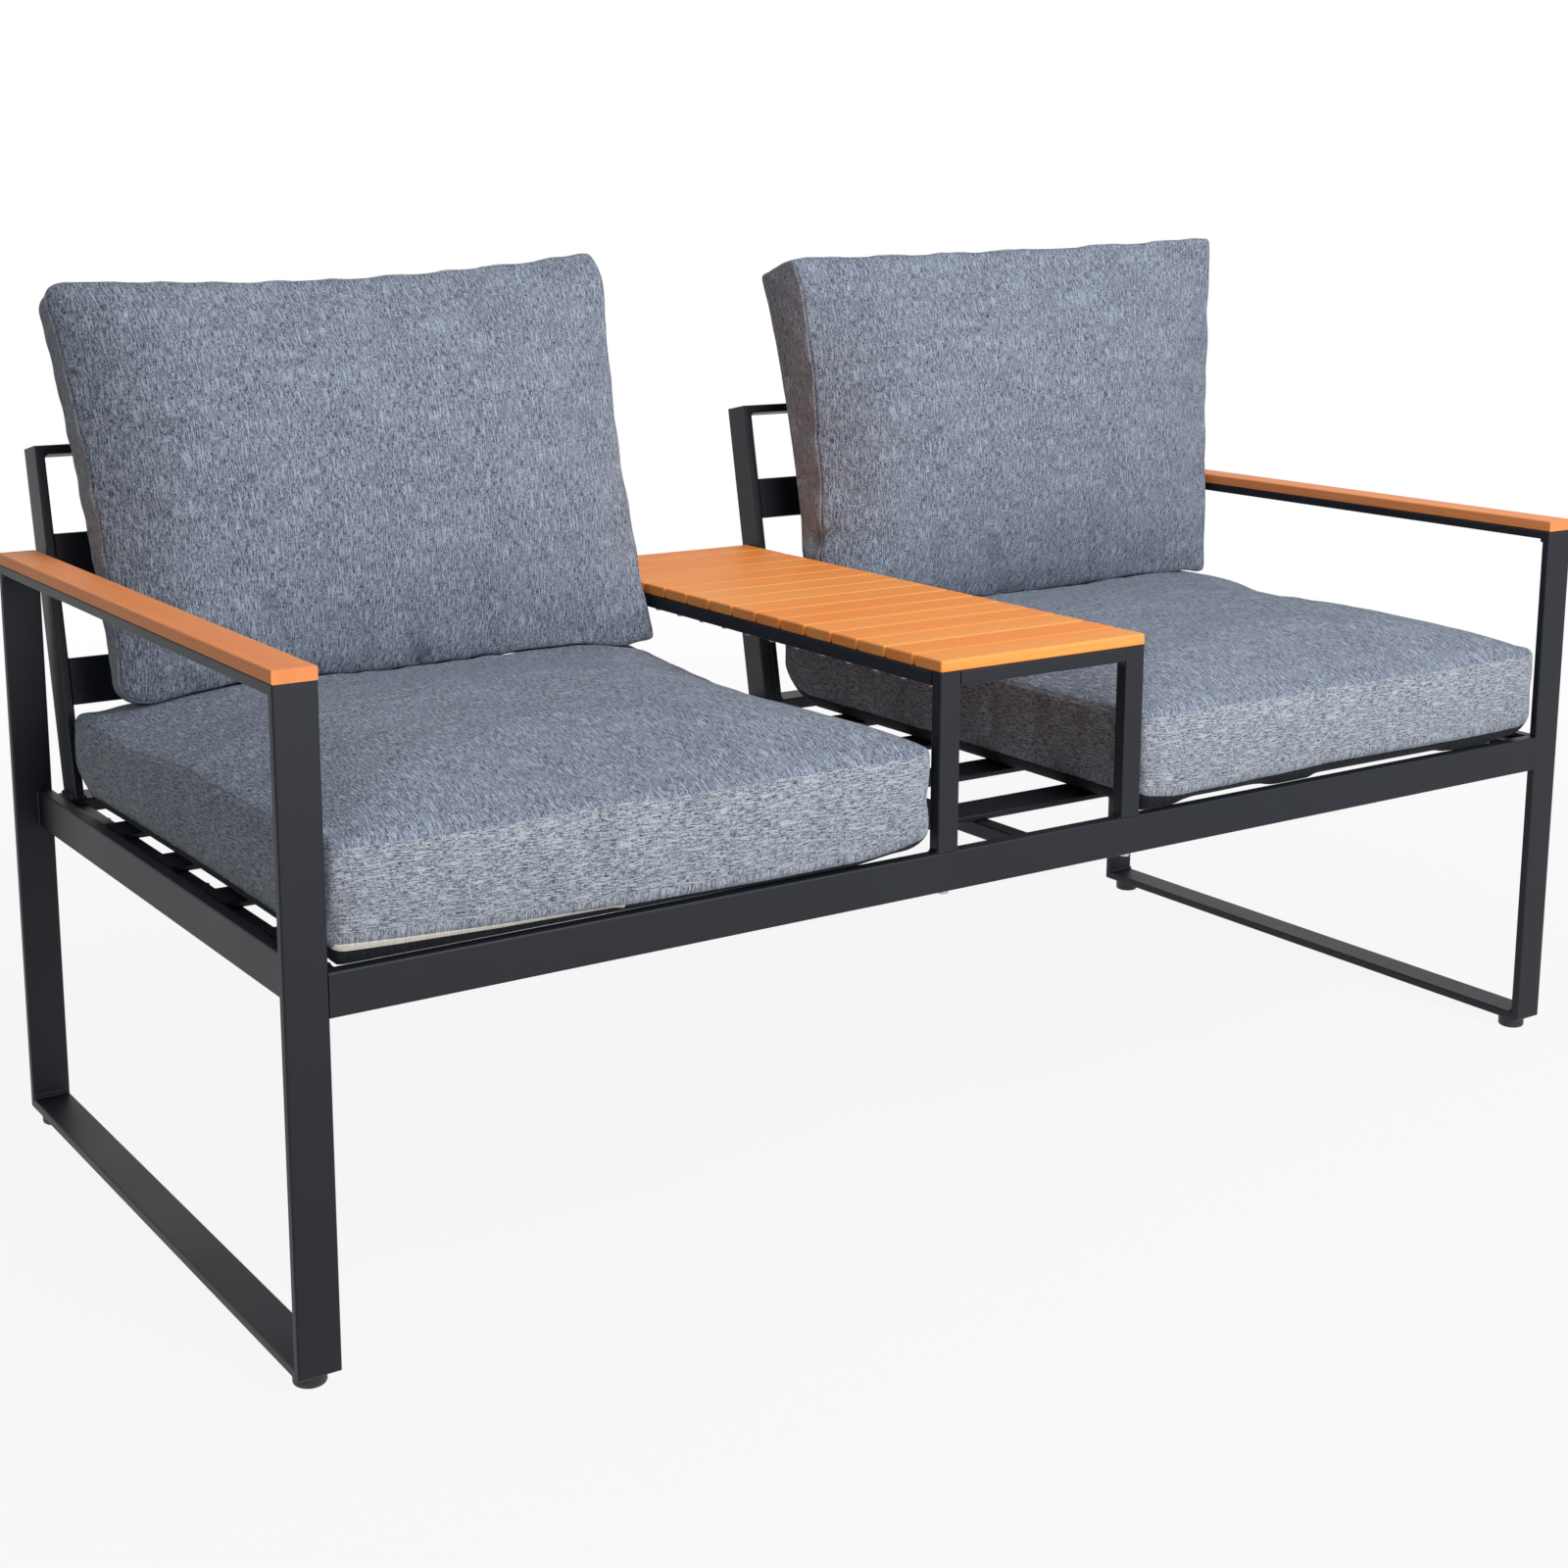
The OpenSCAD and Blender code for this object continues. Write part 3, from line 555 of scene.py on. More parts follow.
def post_welds(side):
    """Along both sides of each post's foot, and up the ends of the back rails."""
    for post, inward in ((TABLE_X + POST_T / 2, 1), (INNER_X - POST_PLAY - POST_T / 2, -1)):
        for edge in (-1, 1):
            x = side * post + edge * (POST_T / 2 + BEAD / 2)
            yield tuple((x, REAR_RAIL_Y + y, RAIL_Z + BEAD / 2) for y in POST_WELD)
        x = side * (post + inward * (POST_T / 2 + BEAD / 2))
        for top in BACK_RAIL_TOPS:
            heights = [top - below for below in BACK_RAIL_WELD]
            yield tuple((x, back_frame_y(z) + BEHIND_RAILS, z) for z in heights)


welds = [weld for side in (-1, 1) for welds_of in (ring_welds, post_welds) for weld in welds_of(side)]
weld_lines = bpy.data.meshes.new("weld_lines")
ends = place([end for weld in welds for end in weld])
weld_lines.from_pydata(ends.tolist(), [(2 * i, 2 * i + 1) for i in range(len(welds))], [])
print(len(welds), "welds")

# %% Lay the ripples
RIPPLE = 0.0024
tree, given, made = new_tree(
    "ripples along edges", Pitch="Float", Radius="Float", Uneven="Int", Paint="Material"
)
paths = add(tree, "GeometryNodeMeshToCurve", {}, "Curve", Mesh=given["Start"])
steps = add(
    tree, "GeometryNodeResampleCurve", {"mode": "LENGTH"}, "Curve", Curve=paths, Length=given["Pitch"]
)
one_ripple = add(
    tree, "GeometryNodeMeshUVSphere", {}, "Mesh", Segments=8, Rings=5, Radius=given["Radius"]
)
uneven = add(
    tree, "FunctionNodeRandomValue", {"data_type": "FLOAT_VECTOR"}, "Value",
    Min=(0.85, 0.85, 0.85), Max=(1.15, 1.15, 1.15), Seed=given["Uneven"],
)
copies = add(
    tree, "GeometryNodeInstanceOnPoints", {}, "Instances",
    Points=steps, Instance=one_ripple, Scale=uneven,
)
real = add(tree, "GeometryNodeRealizeInstances", {}, "Geometry", Geometry=copies)
smooth = add(tree, "GeometryNodeSetShadeSmooth", {}, "Geometry", Geometry=real)
dressed = add(
    tree, "GeometryNodeSetMaterial", {}, "Geometry", Geometry=smooth, Material=given["Paint"]
)
tree.links.new(dressed, made)
run_tree(
    "weld_beads", weld_lines, tree,
    {"Pitch": RIPPLE, "Radius": RIPPLE, "Uneven": 7, "Paint": paint.material},
    "frame",
)

# %% [markdown]
# ## Cushions
# A box cushion is sewn from an upper panel, a lower panel and a band around them. First comes the cut:
# a grid for each panel whose edges are the seams. Then the cushion is filled with air in a cloth
# simulation, which holds the seams and lets the panels swell and crease. The grid gives each panel
# its own UVs, so the warp runs from front to back on a panel and along the seam on a band.

# %% Panels of a box cushion
CELL = 8.0


def swell(u, v, power):
    """How far a panel swells, from 0 at its seams to 1 in its middle."""
    rise_u = 1 - np.minimum(1, np.abs(u)) ** power
    return rise_u * (1 - np.minimum(1, np.abs(v)) ** power)


def panel_grid(half_x, half_y, corners, draws, spare=0.0, wrapped=False):
    """Flat panel in millimetres. corners are the radii of its left and right corners, and draws says
    how far its four sides, left, right, near and far, are drawn in between them. spare is how much
    longer the cloth is at each side, and a wrapped panel turns that much over the cushion's edge.
    Gives x, y and the distance from the edge."""
    flat_x, flat_y = half_x + spare, half_y + spare
    count_x, count_y = round(2 * flat_x / CELL), round(2 * flat_y / CELL)
    x, y = np.meshgrid(
        np.linspace(-flat_x, flat_x, count_x + 1), np.linspace(-flat_y, flat_y, count_y + 1),
        indexing="ij",
    )
    from_x, from_y = flat_x - np.abs(x), flat_y - np.abs(y)
    if wrapped:
        x = np.sign(x) * (half_x - from_x + spare * (1 - np.exp(-from_x / spare)))
        y = np.sign(y) * (half_y - from_y + spare * (1 - np.exp(-from_y / spare)))
    else:
        x, y = x * half_x / flat_x, y * half_y / flat_y
    corner = np.where(x < 0, *corners)
    past_x = np.maximum(0, np.abs(x) - (half_x - corner))
    past_y = np.maximum(0, np.abs(y) - (half_y - corner))
    round_off = np.maximum(past_x, past_y) / np.maximum(1e-9, np.hypot(past_x, past_y))
    both = (past_x > 0) & (past_y > 0)
    in_x = np.where(both, np.sign(x) * (half_x - corner + past_x * round_off), x)
    in_y = np.where(both, np.sign(y) * (half_y - corner + past_y * round_off), y)
    draw_x = np.where(x < 0, draws[0], draws[1]) / half_x
    draw_y = np.where(y < 0, draws[2], draws[3]) / half_y
    bow_x = 1 - draw_x * (1 - (y / half_y) ** 2) * np.abs(x / half_x)
    bow_y = 1 - draw_y * (1 - (x / half_x) ** 2) * np.abs(y / half_y)
    return in_x * bow_x, in_y * bow_y, np.minimum(from_x, from_y)


def edge_walk(count_x, count_y):
    """Grid places around a panel, counter-clockwise from above."""
    walk = [(i, 0) for i in range(count_x)] + [(count_x, j) for j in range(count_y)]
    walk += [(i, count_y) for i in range(count_x, 0, -1)]
    return walk + [(0, j) for j in range(count_y, 0, -1)]


print("a panel cell is", CELL, "mm")

# %% Sew the panels and the band
FABRIC, LINING, PAINTED_SHADE = 0, 1, 2


def sew(name, lower, upper, band_rows, turned_rows, under):
    """Sews two panels and a band of straight rows between them, all in the drawing's millimetres.
    The lowest turned_rows of the band have their warp across the seam, as cut with the lower panel.
    under gives the cloth of each cell of the lower panel. Gives the piece and that panel's points."""
    count_x, count_y = upper.shape[0] - 1, upper.shape[1] - 1
    walk = edge_walk(count_x, count_y)
    points = list(upper.reshape(-1, 3)) + list(lower.reshape(-1, 3))

    def above(i, j):
        return i * (count_y + 1) + j

    def below(i, j):
        return (count_x + 1) * (count_y + 1) + above(i, j)

    rows = [[below(i, j) for i, j in walk]]
    for k in range(1, band_rows):
        share = k / band_rows
        rows.append(list(range(len(points), len(points) + len(walk))))
        points += [lower[i, j] * (1 - share) + upper[i, j] * share for i, j in walk]
    rows.append([above(i, j) for i, j in walk])
    step = CELL / 1000
    faces, cloth, slots, across = [], [], [], []
    for i in range(count_x):
        for j in range(count_y):
            ring = [(i, j), (i + 1, j), (i + 1, j + 1), (i, j + 1)]
            faces += [[above(*c) for c in ring], [below(*c) for c in reversed(ring)]]
            cloth += [(c[0] * step, c[1] * step) for c in ring + ring[::-1]]
            slots += [FABRIC, int(under[i, j])]
            across += [0, 0]
    for k in range(band_rows):
        for p in range(len(walk)):
            q = (p + 1) % len(walk)
            faces.append([rows[k][p], rows[k][q], rows[k + 1][q], rows[k + 1][p]])
            ring = [(p, k), (p + 1, k), (p + 1, k + 1), (p, k + 1)]
            turn = 1 if k < turned_rows else -1
            cloth += [(along * step, up * step)[::turn] for along, up in ring]
            slots.append(FABRIC)
            across.append(1)
    mesh = bpy.data.meshes.new(name)
    mesh.from_pydata(place(points).tolist(), [], faces)
    mesh.uv_layers.new(name="cloth").data.foreach_set("uv", np.ravel(cloth))
    for finish in (fabric, lining, painted_shade_cloth):
        mesh.materials.append(finish.material)
    mesh.polygons.foreach_set("material_index", slots)
    # painted sheen: this attribute is 1 on band faces, where the cloth is painted paler
    mesh.attributes.new("painted_sheen_band", "FLOAT", "FACE").data.foreach_set("value", across)
    piece = bpy.data.objects.new(name, mesh)
    bpy.context.scene.collection.objects.link(piece)
    for title, members in (("seam", rows[0] + rows[-1]), ("band", sum(rows[1:-1], []))):
        piece.vertex_groups.new(name=title).add(members, 1.0, "REPLACE")
    print(f"{name}: sewn from {len(faces)} cells")
    return piece, [below(i, j) for i in range(count_x + 1) for j in range(count_y + 1)]


# %% [markdown]
# ## Air, slack and seams
# Cloth has more area than the foam inside it, and the surplus shows as small puckers along the seams.
# So the simulation lets the cloth grow by about a hundredth, blows it up a little, and holds the seams
# and the side that the cushion rests on. The band gets less air, because foam keeps it straight.
# A cap keeps each point near the cut.

# %% Fill a cushion
FRAMES = 20
AIR_PRESSURE = 4


def group_points(piece, title):
    index = piece.vertex_groups[title].index
    return [v.index for v in piece.data.vertices if any(g.group == index for g in v.groups)]


def coordinates_of(piece):
    """A mesh's points as an array, in metres."""
    flat = np.empty(3 * len(piece.data.vertices))
    piece.data.vertices.foreach_get("co", flat)
    return flat.reshape(-1, 3)


def fill(piece, resting, growth, band_air, cap):
    """Runs the cloth simulation on a sewn cushion and keeps its shape. No point moves further than
    the cap, in metres."""
    everywhere = range(len(piece.data.vertices))
    piece.vertex_groups.new(name="pins").add(resting + group_points(piece, "seam"), 1.0, "REPLACE")
    air = piece.vertex_groups.new(name="air")
    air.add(everywhere, 1.0, "REPLACE")
    air.add(group_points(piece, "band"), band_air, "REPLACE")
    modifier = piece.modifiers.new("cloth", "CLOTH")
    cloth = modifier.settings
    cloth.quality = 5
    cloth.mass = 0.3
    cloth.tension_stiffness = cloth.compression_stiffness = 20
    cloth.shear_stiffness = 8
    cloth.bending_stiffness = 0.8
    cloth.air_damping = 3
    cloth.use_pressure = True
    cloth.uniform_pressure_force = AIR_PRESSURE
    cloth.vertex_group_pressure = "air"
    cloth.shrink_min = -growth
    cloth.vertex_group_mass = "pins"
    cloth.effector_weights.gravity = 0
    modifier.collision_settings.use_collision = False
    modifier.point_cache.frame_start = 1
    modifier.point_cache.frame_end = FRAMES
    scene = bpy.context.scene
    for number in range(1, FRAMES + 1):
        scene.frame_set(number)
    evaluated = piece.evaluated_get(bpy.context.evaluated_depsgraph_get())
    after = coordinates_of(evaluated)
    piece.modifiers.remove(modifier)
    scene.frame_set(1)
    before = coordinates_of(piece)
    move = after - before
    length = np.linalg.norm(move, axis=1, keepdims=True)
    move *= np.minimum(1, cap / np.maximum(length, 1e-9))
    piece.data.vertices.foreach_set("co", (before + move).ravel())
    print(f"{piece.name}: moved {1000 * length.mean():.1f} mm, most {1000 * length.max():.1f} mm")


# %% [markdown]
# ## The last touches of a cushion
# Foam and cloth can't enter the frame, so each point is held in the room between table and arm.
# A few soft creases are pressed in where the photograph shows them. Then the mesh is smoothed, and a
# fine groove marks the seams, where the thread pulls the cloth in.

# %% Hold, crease and finish a cushion
TABLE_GAP, ARM_GAP = 0.7, 0.5
RIDGE = 0.35
SEAM_WIDTH = 0.0024


def hold(piece, side, limit):
    """Moves points back into the room of a cushion. limit changes an array of points."""
    points = coordinates_of(piece)
    room = (TABLE_X + TABLE_GAP) / 1000, (INNER_X - ARM_GAP) / 1000
    points[:, 0] = side * np.clip(side * points[:, 0], *room)
    limit(points)
    piece.data.vertices.foreach_set("co", points.ravel())
    piece.data.update()


def crease(piece, start, end, depth, width):
    """Presses a soft crease along a line, deepest at its start, with a low ridge on both sides.
    All lengths are in metres."""
    points = coordinates_of(piece)
    line = end - start
    share = np.clip((points - start) @ line / (line @ line), 0, 1)
    away = np.linalg.norm(points - start - share[:, None] * line, axis=1)
    push = depth * (1 - share) * np.exp(-((away / width) ** 2))
    ridge = RIDGE * depth * (1 - share) * np.exp(-(((away - 2 * width) / width) ** 2))
    normals = np.array([v.normal for v in piece.data.vertices])
    points += normals * (ridge - push)[:, None]
    piece.data.vertices.foreach_set("co", points.ravel())
    piece.data.update()


def finish_cushion(piece, body, groove):
    """Smooths a filled cushion, presses a groove along its seams and makes it stand for its node."""
    smooth = piece.modifiers.new("smooth", "SUBSURF")
    smooth.levels = smooth.render_levels = 1
    depsgraph = bpy.context.evaluated_depsgraph_get()
    mesh = bpy.data.meshes.new_from_object(
        piece.evaluated_get(depsgraph), preserve_all_data_layers=True, depsgraph=depsgraph
    )
    piece.modifiers.remove(smooth)
    piece.data = mesh
    shape = bmesh.new()
    shape.from_mesh(mesh)
    weights = shape.verts.layers.deform.verify()
    seam = piece.vertex_groups["seam"].index
    on_seam = {v for v in shape.verts if v[weights].get(seam, 0) > 0.99}
    seam_edges = [e for e in shape.edges if set(e.verts) <= on_seam]
    made = bmesh.ops.bevel(
        shape, geom=seam_edges, offset=SEAM_WIDTH / 2, segments=2, profile=0.5, affect="EDGES",
        clamp_overlap=True,
    )
    rims = set(made["faces"])
    for vert in {v for f in rims for v in f.verts}:
        if all(f in rims for f in vert.link_faces):
            vert.co -= vert.normal * groove
    for face in shape.faces:
        face.smooth = True
    shape.to_mesh(mesh)
    shape.free()
    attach(piece, body)
    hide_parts(body)
    print(f"{piece.name}: {len(mesh.polygons)} faces, {len(seam_edges)} seam edges")


# %% [markdown]
# ## Seat cushions
# A seat cushion lies on the slats and its upper face is crowned. Both panels turn over the edge, so
# the band starts a little below the upper edge. The hem, which is the lower seam in front, hangs
# low in its middle and lifts at the corners. Behind it, the shadow under the cushion is painted into
# the turned-under cloth as a near-black rim, and on the left cushion a strip of the pale underside
# shows first. At the rear the lower seam lifts, because the cushion bends up over the rear rail, and
# there the back cushion presses its crown down.

# %% The cut of the seat cushions
CUSHION_W = INNER_X - TABLE_X - 6
BAY_X = (INNER_X + TABLE_X) / 2
SEAT_D = 662.0
SEAT_Y = 2 + SEAT_D / 2
SEAM_UP = 20.0
SEAT_BAND = 90.0
SEAT_TOP_Z = RAIL_Z + SEAM_UP + SEAT_BAND
SEAT_CROWN = 20.0
CUT_CROWN = 0.6 * SEAT_CROWN
SEAT_CORNERS = 14, 14
SEAT_DRAWS = 4, 4, 3, 3
BAND_ROWS = 10
FRONT_L = 90.0
HEEL, HEEL_L = 32.0, 60.0
WRAP = 5.0
TURN_DOWN, TURN_DOWN_L = 9.0, 6.5
DECK_GAP = 0.3
PRESS_START, PRESS_L = 330.0, 190.0
LEFT_PRESS, RIGHT_PRESS, EDGE_LIFT = 13, 8, 22
PUCKER, PUCKER_L, PUCKER_IN = 0.8, 110, 30
WAVES = 6


def seat_swell(x, y):
    return swell(x / (CUSHION_W / 2), y / (SEAT_D / 2), 2.3)


def pressed(side, x, y):
    """How far the back cushion presses the seat down. The filling moves to the inner side of the
    left seat, and to both sides of the right one, and lifts their edges."""
    across = x / (CUSHION_W / 2)
    middle, edge = (LEFT_PRESS, np.maximum(0, across)) if side < 0 else (RIGHT_PRESS, np.abs(across))
    under_back = np.clip((y + SEAT_Y - PRESS_START) / PRESS_L, 0, 1)
    return (middle - EDGE_LIFT * edge**6) * under_back**2 * (3 - 2 * under_back)


def seat_upper(side, x, y, crown=SEAT_CROWN):
    return SEAT_TOP_Z + crown * seat_swell(x, y) - pressed(side, x, y)


def ripple(points, seed, amount, length):
    """Small smooth waves along the seams, in millimetres."""
    random = np.random.default_rng(seed)
    total = np.zeros(len(points))
    for _ in range(WAVES):
        wave = random.normal(size=3)
        wave *= math.tau / (length * random.uniform(0.7, 1.6)) / np.linalg.norm(wave)
        total += np.sin(points @ wave + random.uniform(0, math.tau))
    return amount * total / math.sqrt(WAVES)


print(f"a seat cushion is {CUSHION_W} by {SEAT_D} mm")

# %% [markdown]
# The underside is cut by two profiles across each cushion. The hem is how high the lower seam hangs
# above the deck. The tuck is how far behind the hem the cloth touches the deck: where it is long,
# daylight shows under the corner, and where it is short, the cloth sags behind the front rail.

# %% The underside of a seat cushion
LEFT_HEM = ((-1, -0.8, -0.5, -0.1, 0.4, 0.72, 0.86, 1), (23, 18, 12, 7, 4.5, 6, 10, 21))
RIGHT_HEM = ((-1, -0.84, -0.6, -0.1, 0.4, 0.92, 1), (21, 13, 12, 17, 15, 17, 26))
LEFT_TUCK = ((-1, 0.76, 0.86, 1), (9, 9, 30, 30))
RIGHT_TUCK = (
    (-1, -0.8, -0.72, -0.42, -0.34, -0.16, -0.1, 0.5, 0.56, 0.8, 0.86, 1),
    (9, 9, 27, 27, 9, 9, 20, 20, 9, 9, 24, 24),
)
TUCK = 18.0
ROWS_BEHIND_HEM = ((1, 0.4), (2, 1.17), (3, 1.67))
SHORT_TUCK = 16
SAGS = ((2, -0.8), (3, 2.8), (4, 1.8))
TURNED_UNDER = 20.0
STRIP_LOW, STRIP_BACK, STRIP_END = 7.0, 2.5, -0.1


def behind_front(y):
    """0 at the front of the cushion, and 1 from where its lower seam runs level."""
    return np.clip((y + SEAT_D / 2) / FRONT_L, 0, 1)


def seam_height(side, x, y):
    """Height of the lower seam above the deck: the hem in front, and level at the other sides."""
    hem = np.interp(x / (CUSHION_W / 2), *(LEFT_HEM if side < 0 else RIGHT_HEM))
    behind = behind_front(y)
    return hem * (1 - behind) + SEAM_UP * behind


def tuck_length(side, x):
    return np.interp(x / (CUSHION_W / 2), *(LEFT_TUCK if side < 0 else RIGHT_TUCK))


def seat_lower(side, x, y, from_edge):
    heel = HEEL * np.maximum(0, 1 + (y - SEAT_D / 2) / HEEL_L) ** 2
    behind = behind_front(y)
    tuck = tuck_length(side, x) * (1 - behind) + TUCK * behind
    fall = np.maximum(0, 1 - from_edge / tuck) ** 2
    return RAIL_Z + heel + np.maximum(DECK_GAP, seam_height(side, x, y) * fall)


def underside(side, half_x, half_y):
    """The lower panel's points, how far each is from the edge, and the cloth of each cell."""
    x, y, from_edge = panel_grid(half_x, half_y, SEAT_CORNERS, SEAT_DRAWS, spare=WRAP)
    # painted shade: the lower panel's rim near the edge takes the near-black cloth, for the shadow
    # under the hem
    cloth = np.where(from_edge[:-1, :-1] > TURNED_UNDER, LINING, PAINTED_SHADE)
    tuck = tuck_length(side, x[:, 0])
    bow = np.clip(y[:, 0] + half_y, 0, SEAT_DRAWS[2])
    for row, share in ROWS_BEHIND_HEM:
        behind_hem = np.minimum(from_edge[4, row], share * tuck - (bow if row > 1 else 0))
        y[:, row] = y[:, 0] + behind_hem
        from_edge[:, row] = np.minimum(from_edge[:, row], behind_hem)
    z = seat_lower(side, x, y, from_edge)
    sag = np.clip((SHORT_TUCK - tuck) / 4, 0, 1)
    for row, amount in SAGS:
        z[:, row] -= amount * sag
    if side < 0:
        strip = STRIP_LOW * np.clip((STRIP_END - x[:, 0] / half_x) / (1 + STRIP_END), 0, 1)
        y[:, 1] = np.where(strip > 0, y[:, 0] + STRIP_BACK, y[:, 1])
        z[:, 1] = np.where(strip > 0, z[:, 0] - strip, z[:, 1])
        # where the pale strip shows, it takes the place of the painted shade in the front row
        cloth[:, 0] = np.where(strip[:-1] > 0, LINING, PAINTED_SHADE)
    return np.stack([x, y, z], axis=-1), from_edge, cloth


def seat_cushion(side, seed):
    """A cut and sewn seat cushion, and its points that rest on the deck."""
    name = ("left" if side < 0 else "right") + "_seat_pad"
    half_x, half_y = CUSHION_W / 2, SEAT_D / 2
    middle = np.array([side * BAY_X, SEAT_Y, 0])
    x, y, from_edge = panel_grid(half_x, half_y, SEAT_CORNERS, SEAT_DRAWS, spare=WRAP, wrapped=True)
    turn = TURN_DOWN * np.exp(-((from_edge / TURN_DOWN_L) ** 1.3))
    upper = np.stack([x, y, seat_upper(side, x, y, CUT_CROWN) - turn], axis=-1) + middle
    lower, from_edge, cloth = underside(side, half_x, half_y)
    flat = upper.reshape(-1, 3)
    flat[:, 2] += ripple(flat, seed, PUCKER, PUCKER_L) * np.exp(-np.ravel(from_edge) / PUCKER_IN)
    return sew(name, lower + middle, upper, BAND_ROWS, 1, cloth)


# %% Make the seat cushions
SAG_MOST = 3
SAG_PLACE, SAG_REACH = 0.052, 0.036


def stay_on_deck(points):
    """On the rail and the slats, but free to sag a little between the rail and the first slat.
    The points and the sag's place and reach are in metres."""
    between = np.abs(points[:, 1] - front_y - SAG_PLACE) < SAG_REACH
    points[:, 2] = np.maximum(points[:, 2], (RAIL_Z + np.where(between, -SAG_MOST, DECK_GAP)) / 1000)


seat_surfaces = {}
for side, seed in ((-1, 3), (1, 8)):
    body = ("left" if side < 0 else "right") + "_seat_cushion"
    pad, resting = seat_cushion(side, seed)
    fill(pad, resting, growth=0.012, band_air=0.6, cap=0.026)
    hold(pad, side, stay_on_deck)
    finish_cushion(pad, body, groove=0.0005)
    seat_surfaces[side] = BVHTree.FromPolygons(
        [v.co for v in pad.data.vertices], [p.vertices for p in pad.data.polygons]
    )

# %% [markdown]
# ## Back cushions
# A back cushion stands on the seat and leans on the back frame. Its corners have slumped, each in
# its own way, so the cut is bent to four corner shifts before the air comes in. Its front panel
# rolls back towards some of its seams, more at the left cushion, whose upper seam also hangs lower
# in its middle. Both have a few creases at their lower seams.

# %% The cut of the back cushions
BACK_H = 436.0
BACK_SIDE_W = 78.0
BACK_CROWN = 38.0
CUT_BULGE = 0.7 * BACK_CROWN
BACK_SWELL = 70.0
BACK_FORWARD = 112.0
BACK_BOTTOM_Z = SEAT_TOP_Z + 16
REAR_DROP = 8.0
ABOVE_SEAT, BEFORE_FRAME = 1.8, 0.6
HALF_W = CUSHION_W / 2 - 1.5
LEFT_SLUMP = np.array([[28, 28, 0], [3, 36, 5], [0, 3, -2], [1, 14, 19]], float)
RIGHT_SLUMP = np.array([[12, 10, 0], [2, 4, 0], [2, -4, 3], [2, 76, 25]], float)
LEFT_DRAWS, RIGHT_DRAWS = (8, 16, -8, 18), (20, 7, -3, 4)
LEFT_CORNERS, RIGHT_CORNERS = (24, 7), (7, 7)
LEFT_ROLL = ((56, 85), (34, 62), (34, 95))
RIGHT_ROLL = ((66, 95), (5, 60), (36, 90))


def back_place(side, x, v, w):
    """A point of a back cushion: x across, v up its lean and w forward of its rear seam. The slump
    has a row for each corner, lower left and right, then upper left and right. A row says how far
    the corner moves right, forward and up."""
    slump = LEFT_SLUMP if side < 0 else RIGHT_SLUMP
    across = np.asarray(x / CUSHION_W + 0.5)[..., None]
    up = np.asarray(v / BACK_H)[..., None]
    low = slump[0] * (1 - across) + slump[1] * across
    high = slump[2] * (1 - across) + slump[3] * across
    shift = low * (1 - up) + high * up
    y = REAR_RAIL_Y - BACK_FORWARD - shift[..., 1]
    y = y + v * math.sin(LEAN) + (BACK_SIDE_W - w) * math.cos(LEAN)
    z = BACK_BOTTOM_Z + shift[..., 2] + v * math.cos(LEAN) - (BACK_SIDE_W - w) * math.sin(LEAN)
    z = np.maximum(z, seat_upper(side, x, y - SEAT_Y) + ABOVE_SEAT)
    y = np.minimum(y, back_frame_y(z) - BEFORE_FRAME)
    return np.stack([side * BAY_X + x + shift[..., 0], y, z], axis=-1)


def roll(side, x, up):
    """How far the front panel rolls back to its left, upper and lower seams. The table gives the
    amount at each seam and how far in it reaches. The right edge stays sharp on both cushions, and
    the right cushion's left edge rolls only in its lower part."""
    across, high = x / CUSHION_W + 0.5, up / BACK_H
    table = LEFT_ROLL if side < 0 else RIGHT_ROLL
    distances = across * CUSHION_W, BACK_H - up, up
    left, top, bottom = (
        amount * np.maximum(0, 1 - distance / reach) ** 2
        for (amount, reach), distance in zip(table, distances)
    )
    if side > 0:
        left = left * np.clip((0.9 - high) / 0.4, 0, 1)
    bottom = bottom * (1 - across ** (5 if side < 0 else 6))
    return np.sqrt(left**2 + top**2 + bottom**2)


def back_cushion(side, seed):
    """A cut and sewn back cushion, and the points of its rear panel."""
    name = ("left" if side < 0 else "right") + "_back_pad"
    half_v = BACK_H / 2
    corners, draws = (LEFT_CORNERS, LEFT_DRAWS) if side < 0 else (RIGHT_CORNERS, RIGHT_DRAWS)
    x, v, from_edge = panel_grid(HALF_W, half_v, corners, draws)
    front_bulge = swell(x / HALF_W, v / half_v, 2.3)
    rear_bulge = swell(x / HALF_W, v / half_v, 3)
    up = v + half_v
    forward = BACK_SIDE_W + CUT_BULGE * front_bulge - roll(side, x, up)
    front = back_place(side, x, up, forward)
    rear = back_place(side, x, up * (1 - REAR_DROP / BACK_H), -BACK_SWELL * rear_bulge)
    flat = front.reshape(-1, 3)
    near_seam = np.exp(-np.ravel(from_edge) / 25)
    flat[:, 1] -= ripple(flat, seed, 1.0, 70) * near_seam
    flat[:, 0] += ripple(flat, seed + 1, 0.8, 70) * near_seam
    return sew(name, rear, front, BAND_ROWS, 0, np.full(x.shape, FABRIC))


print(f"a back cushion is {CUSHION_W} by {BACK_H} mm")

# %% [markdown]
# Each crease starts at a place across and up the cushion, where it is deepest, and ends at another.
# Across goes from -1 at the left to 1 at the right, and the rest is in millimetres: the height of
# both ends, the depth and the width.

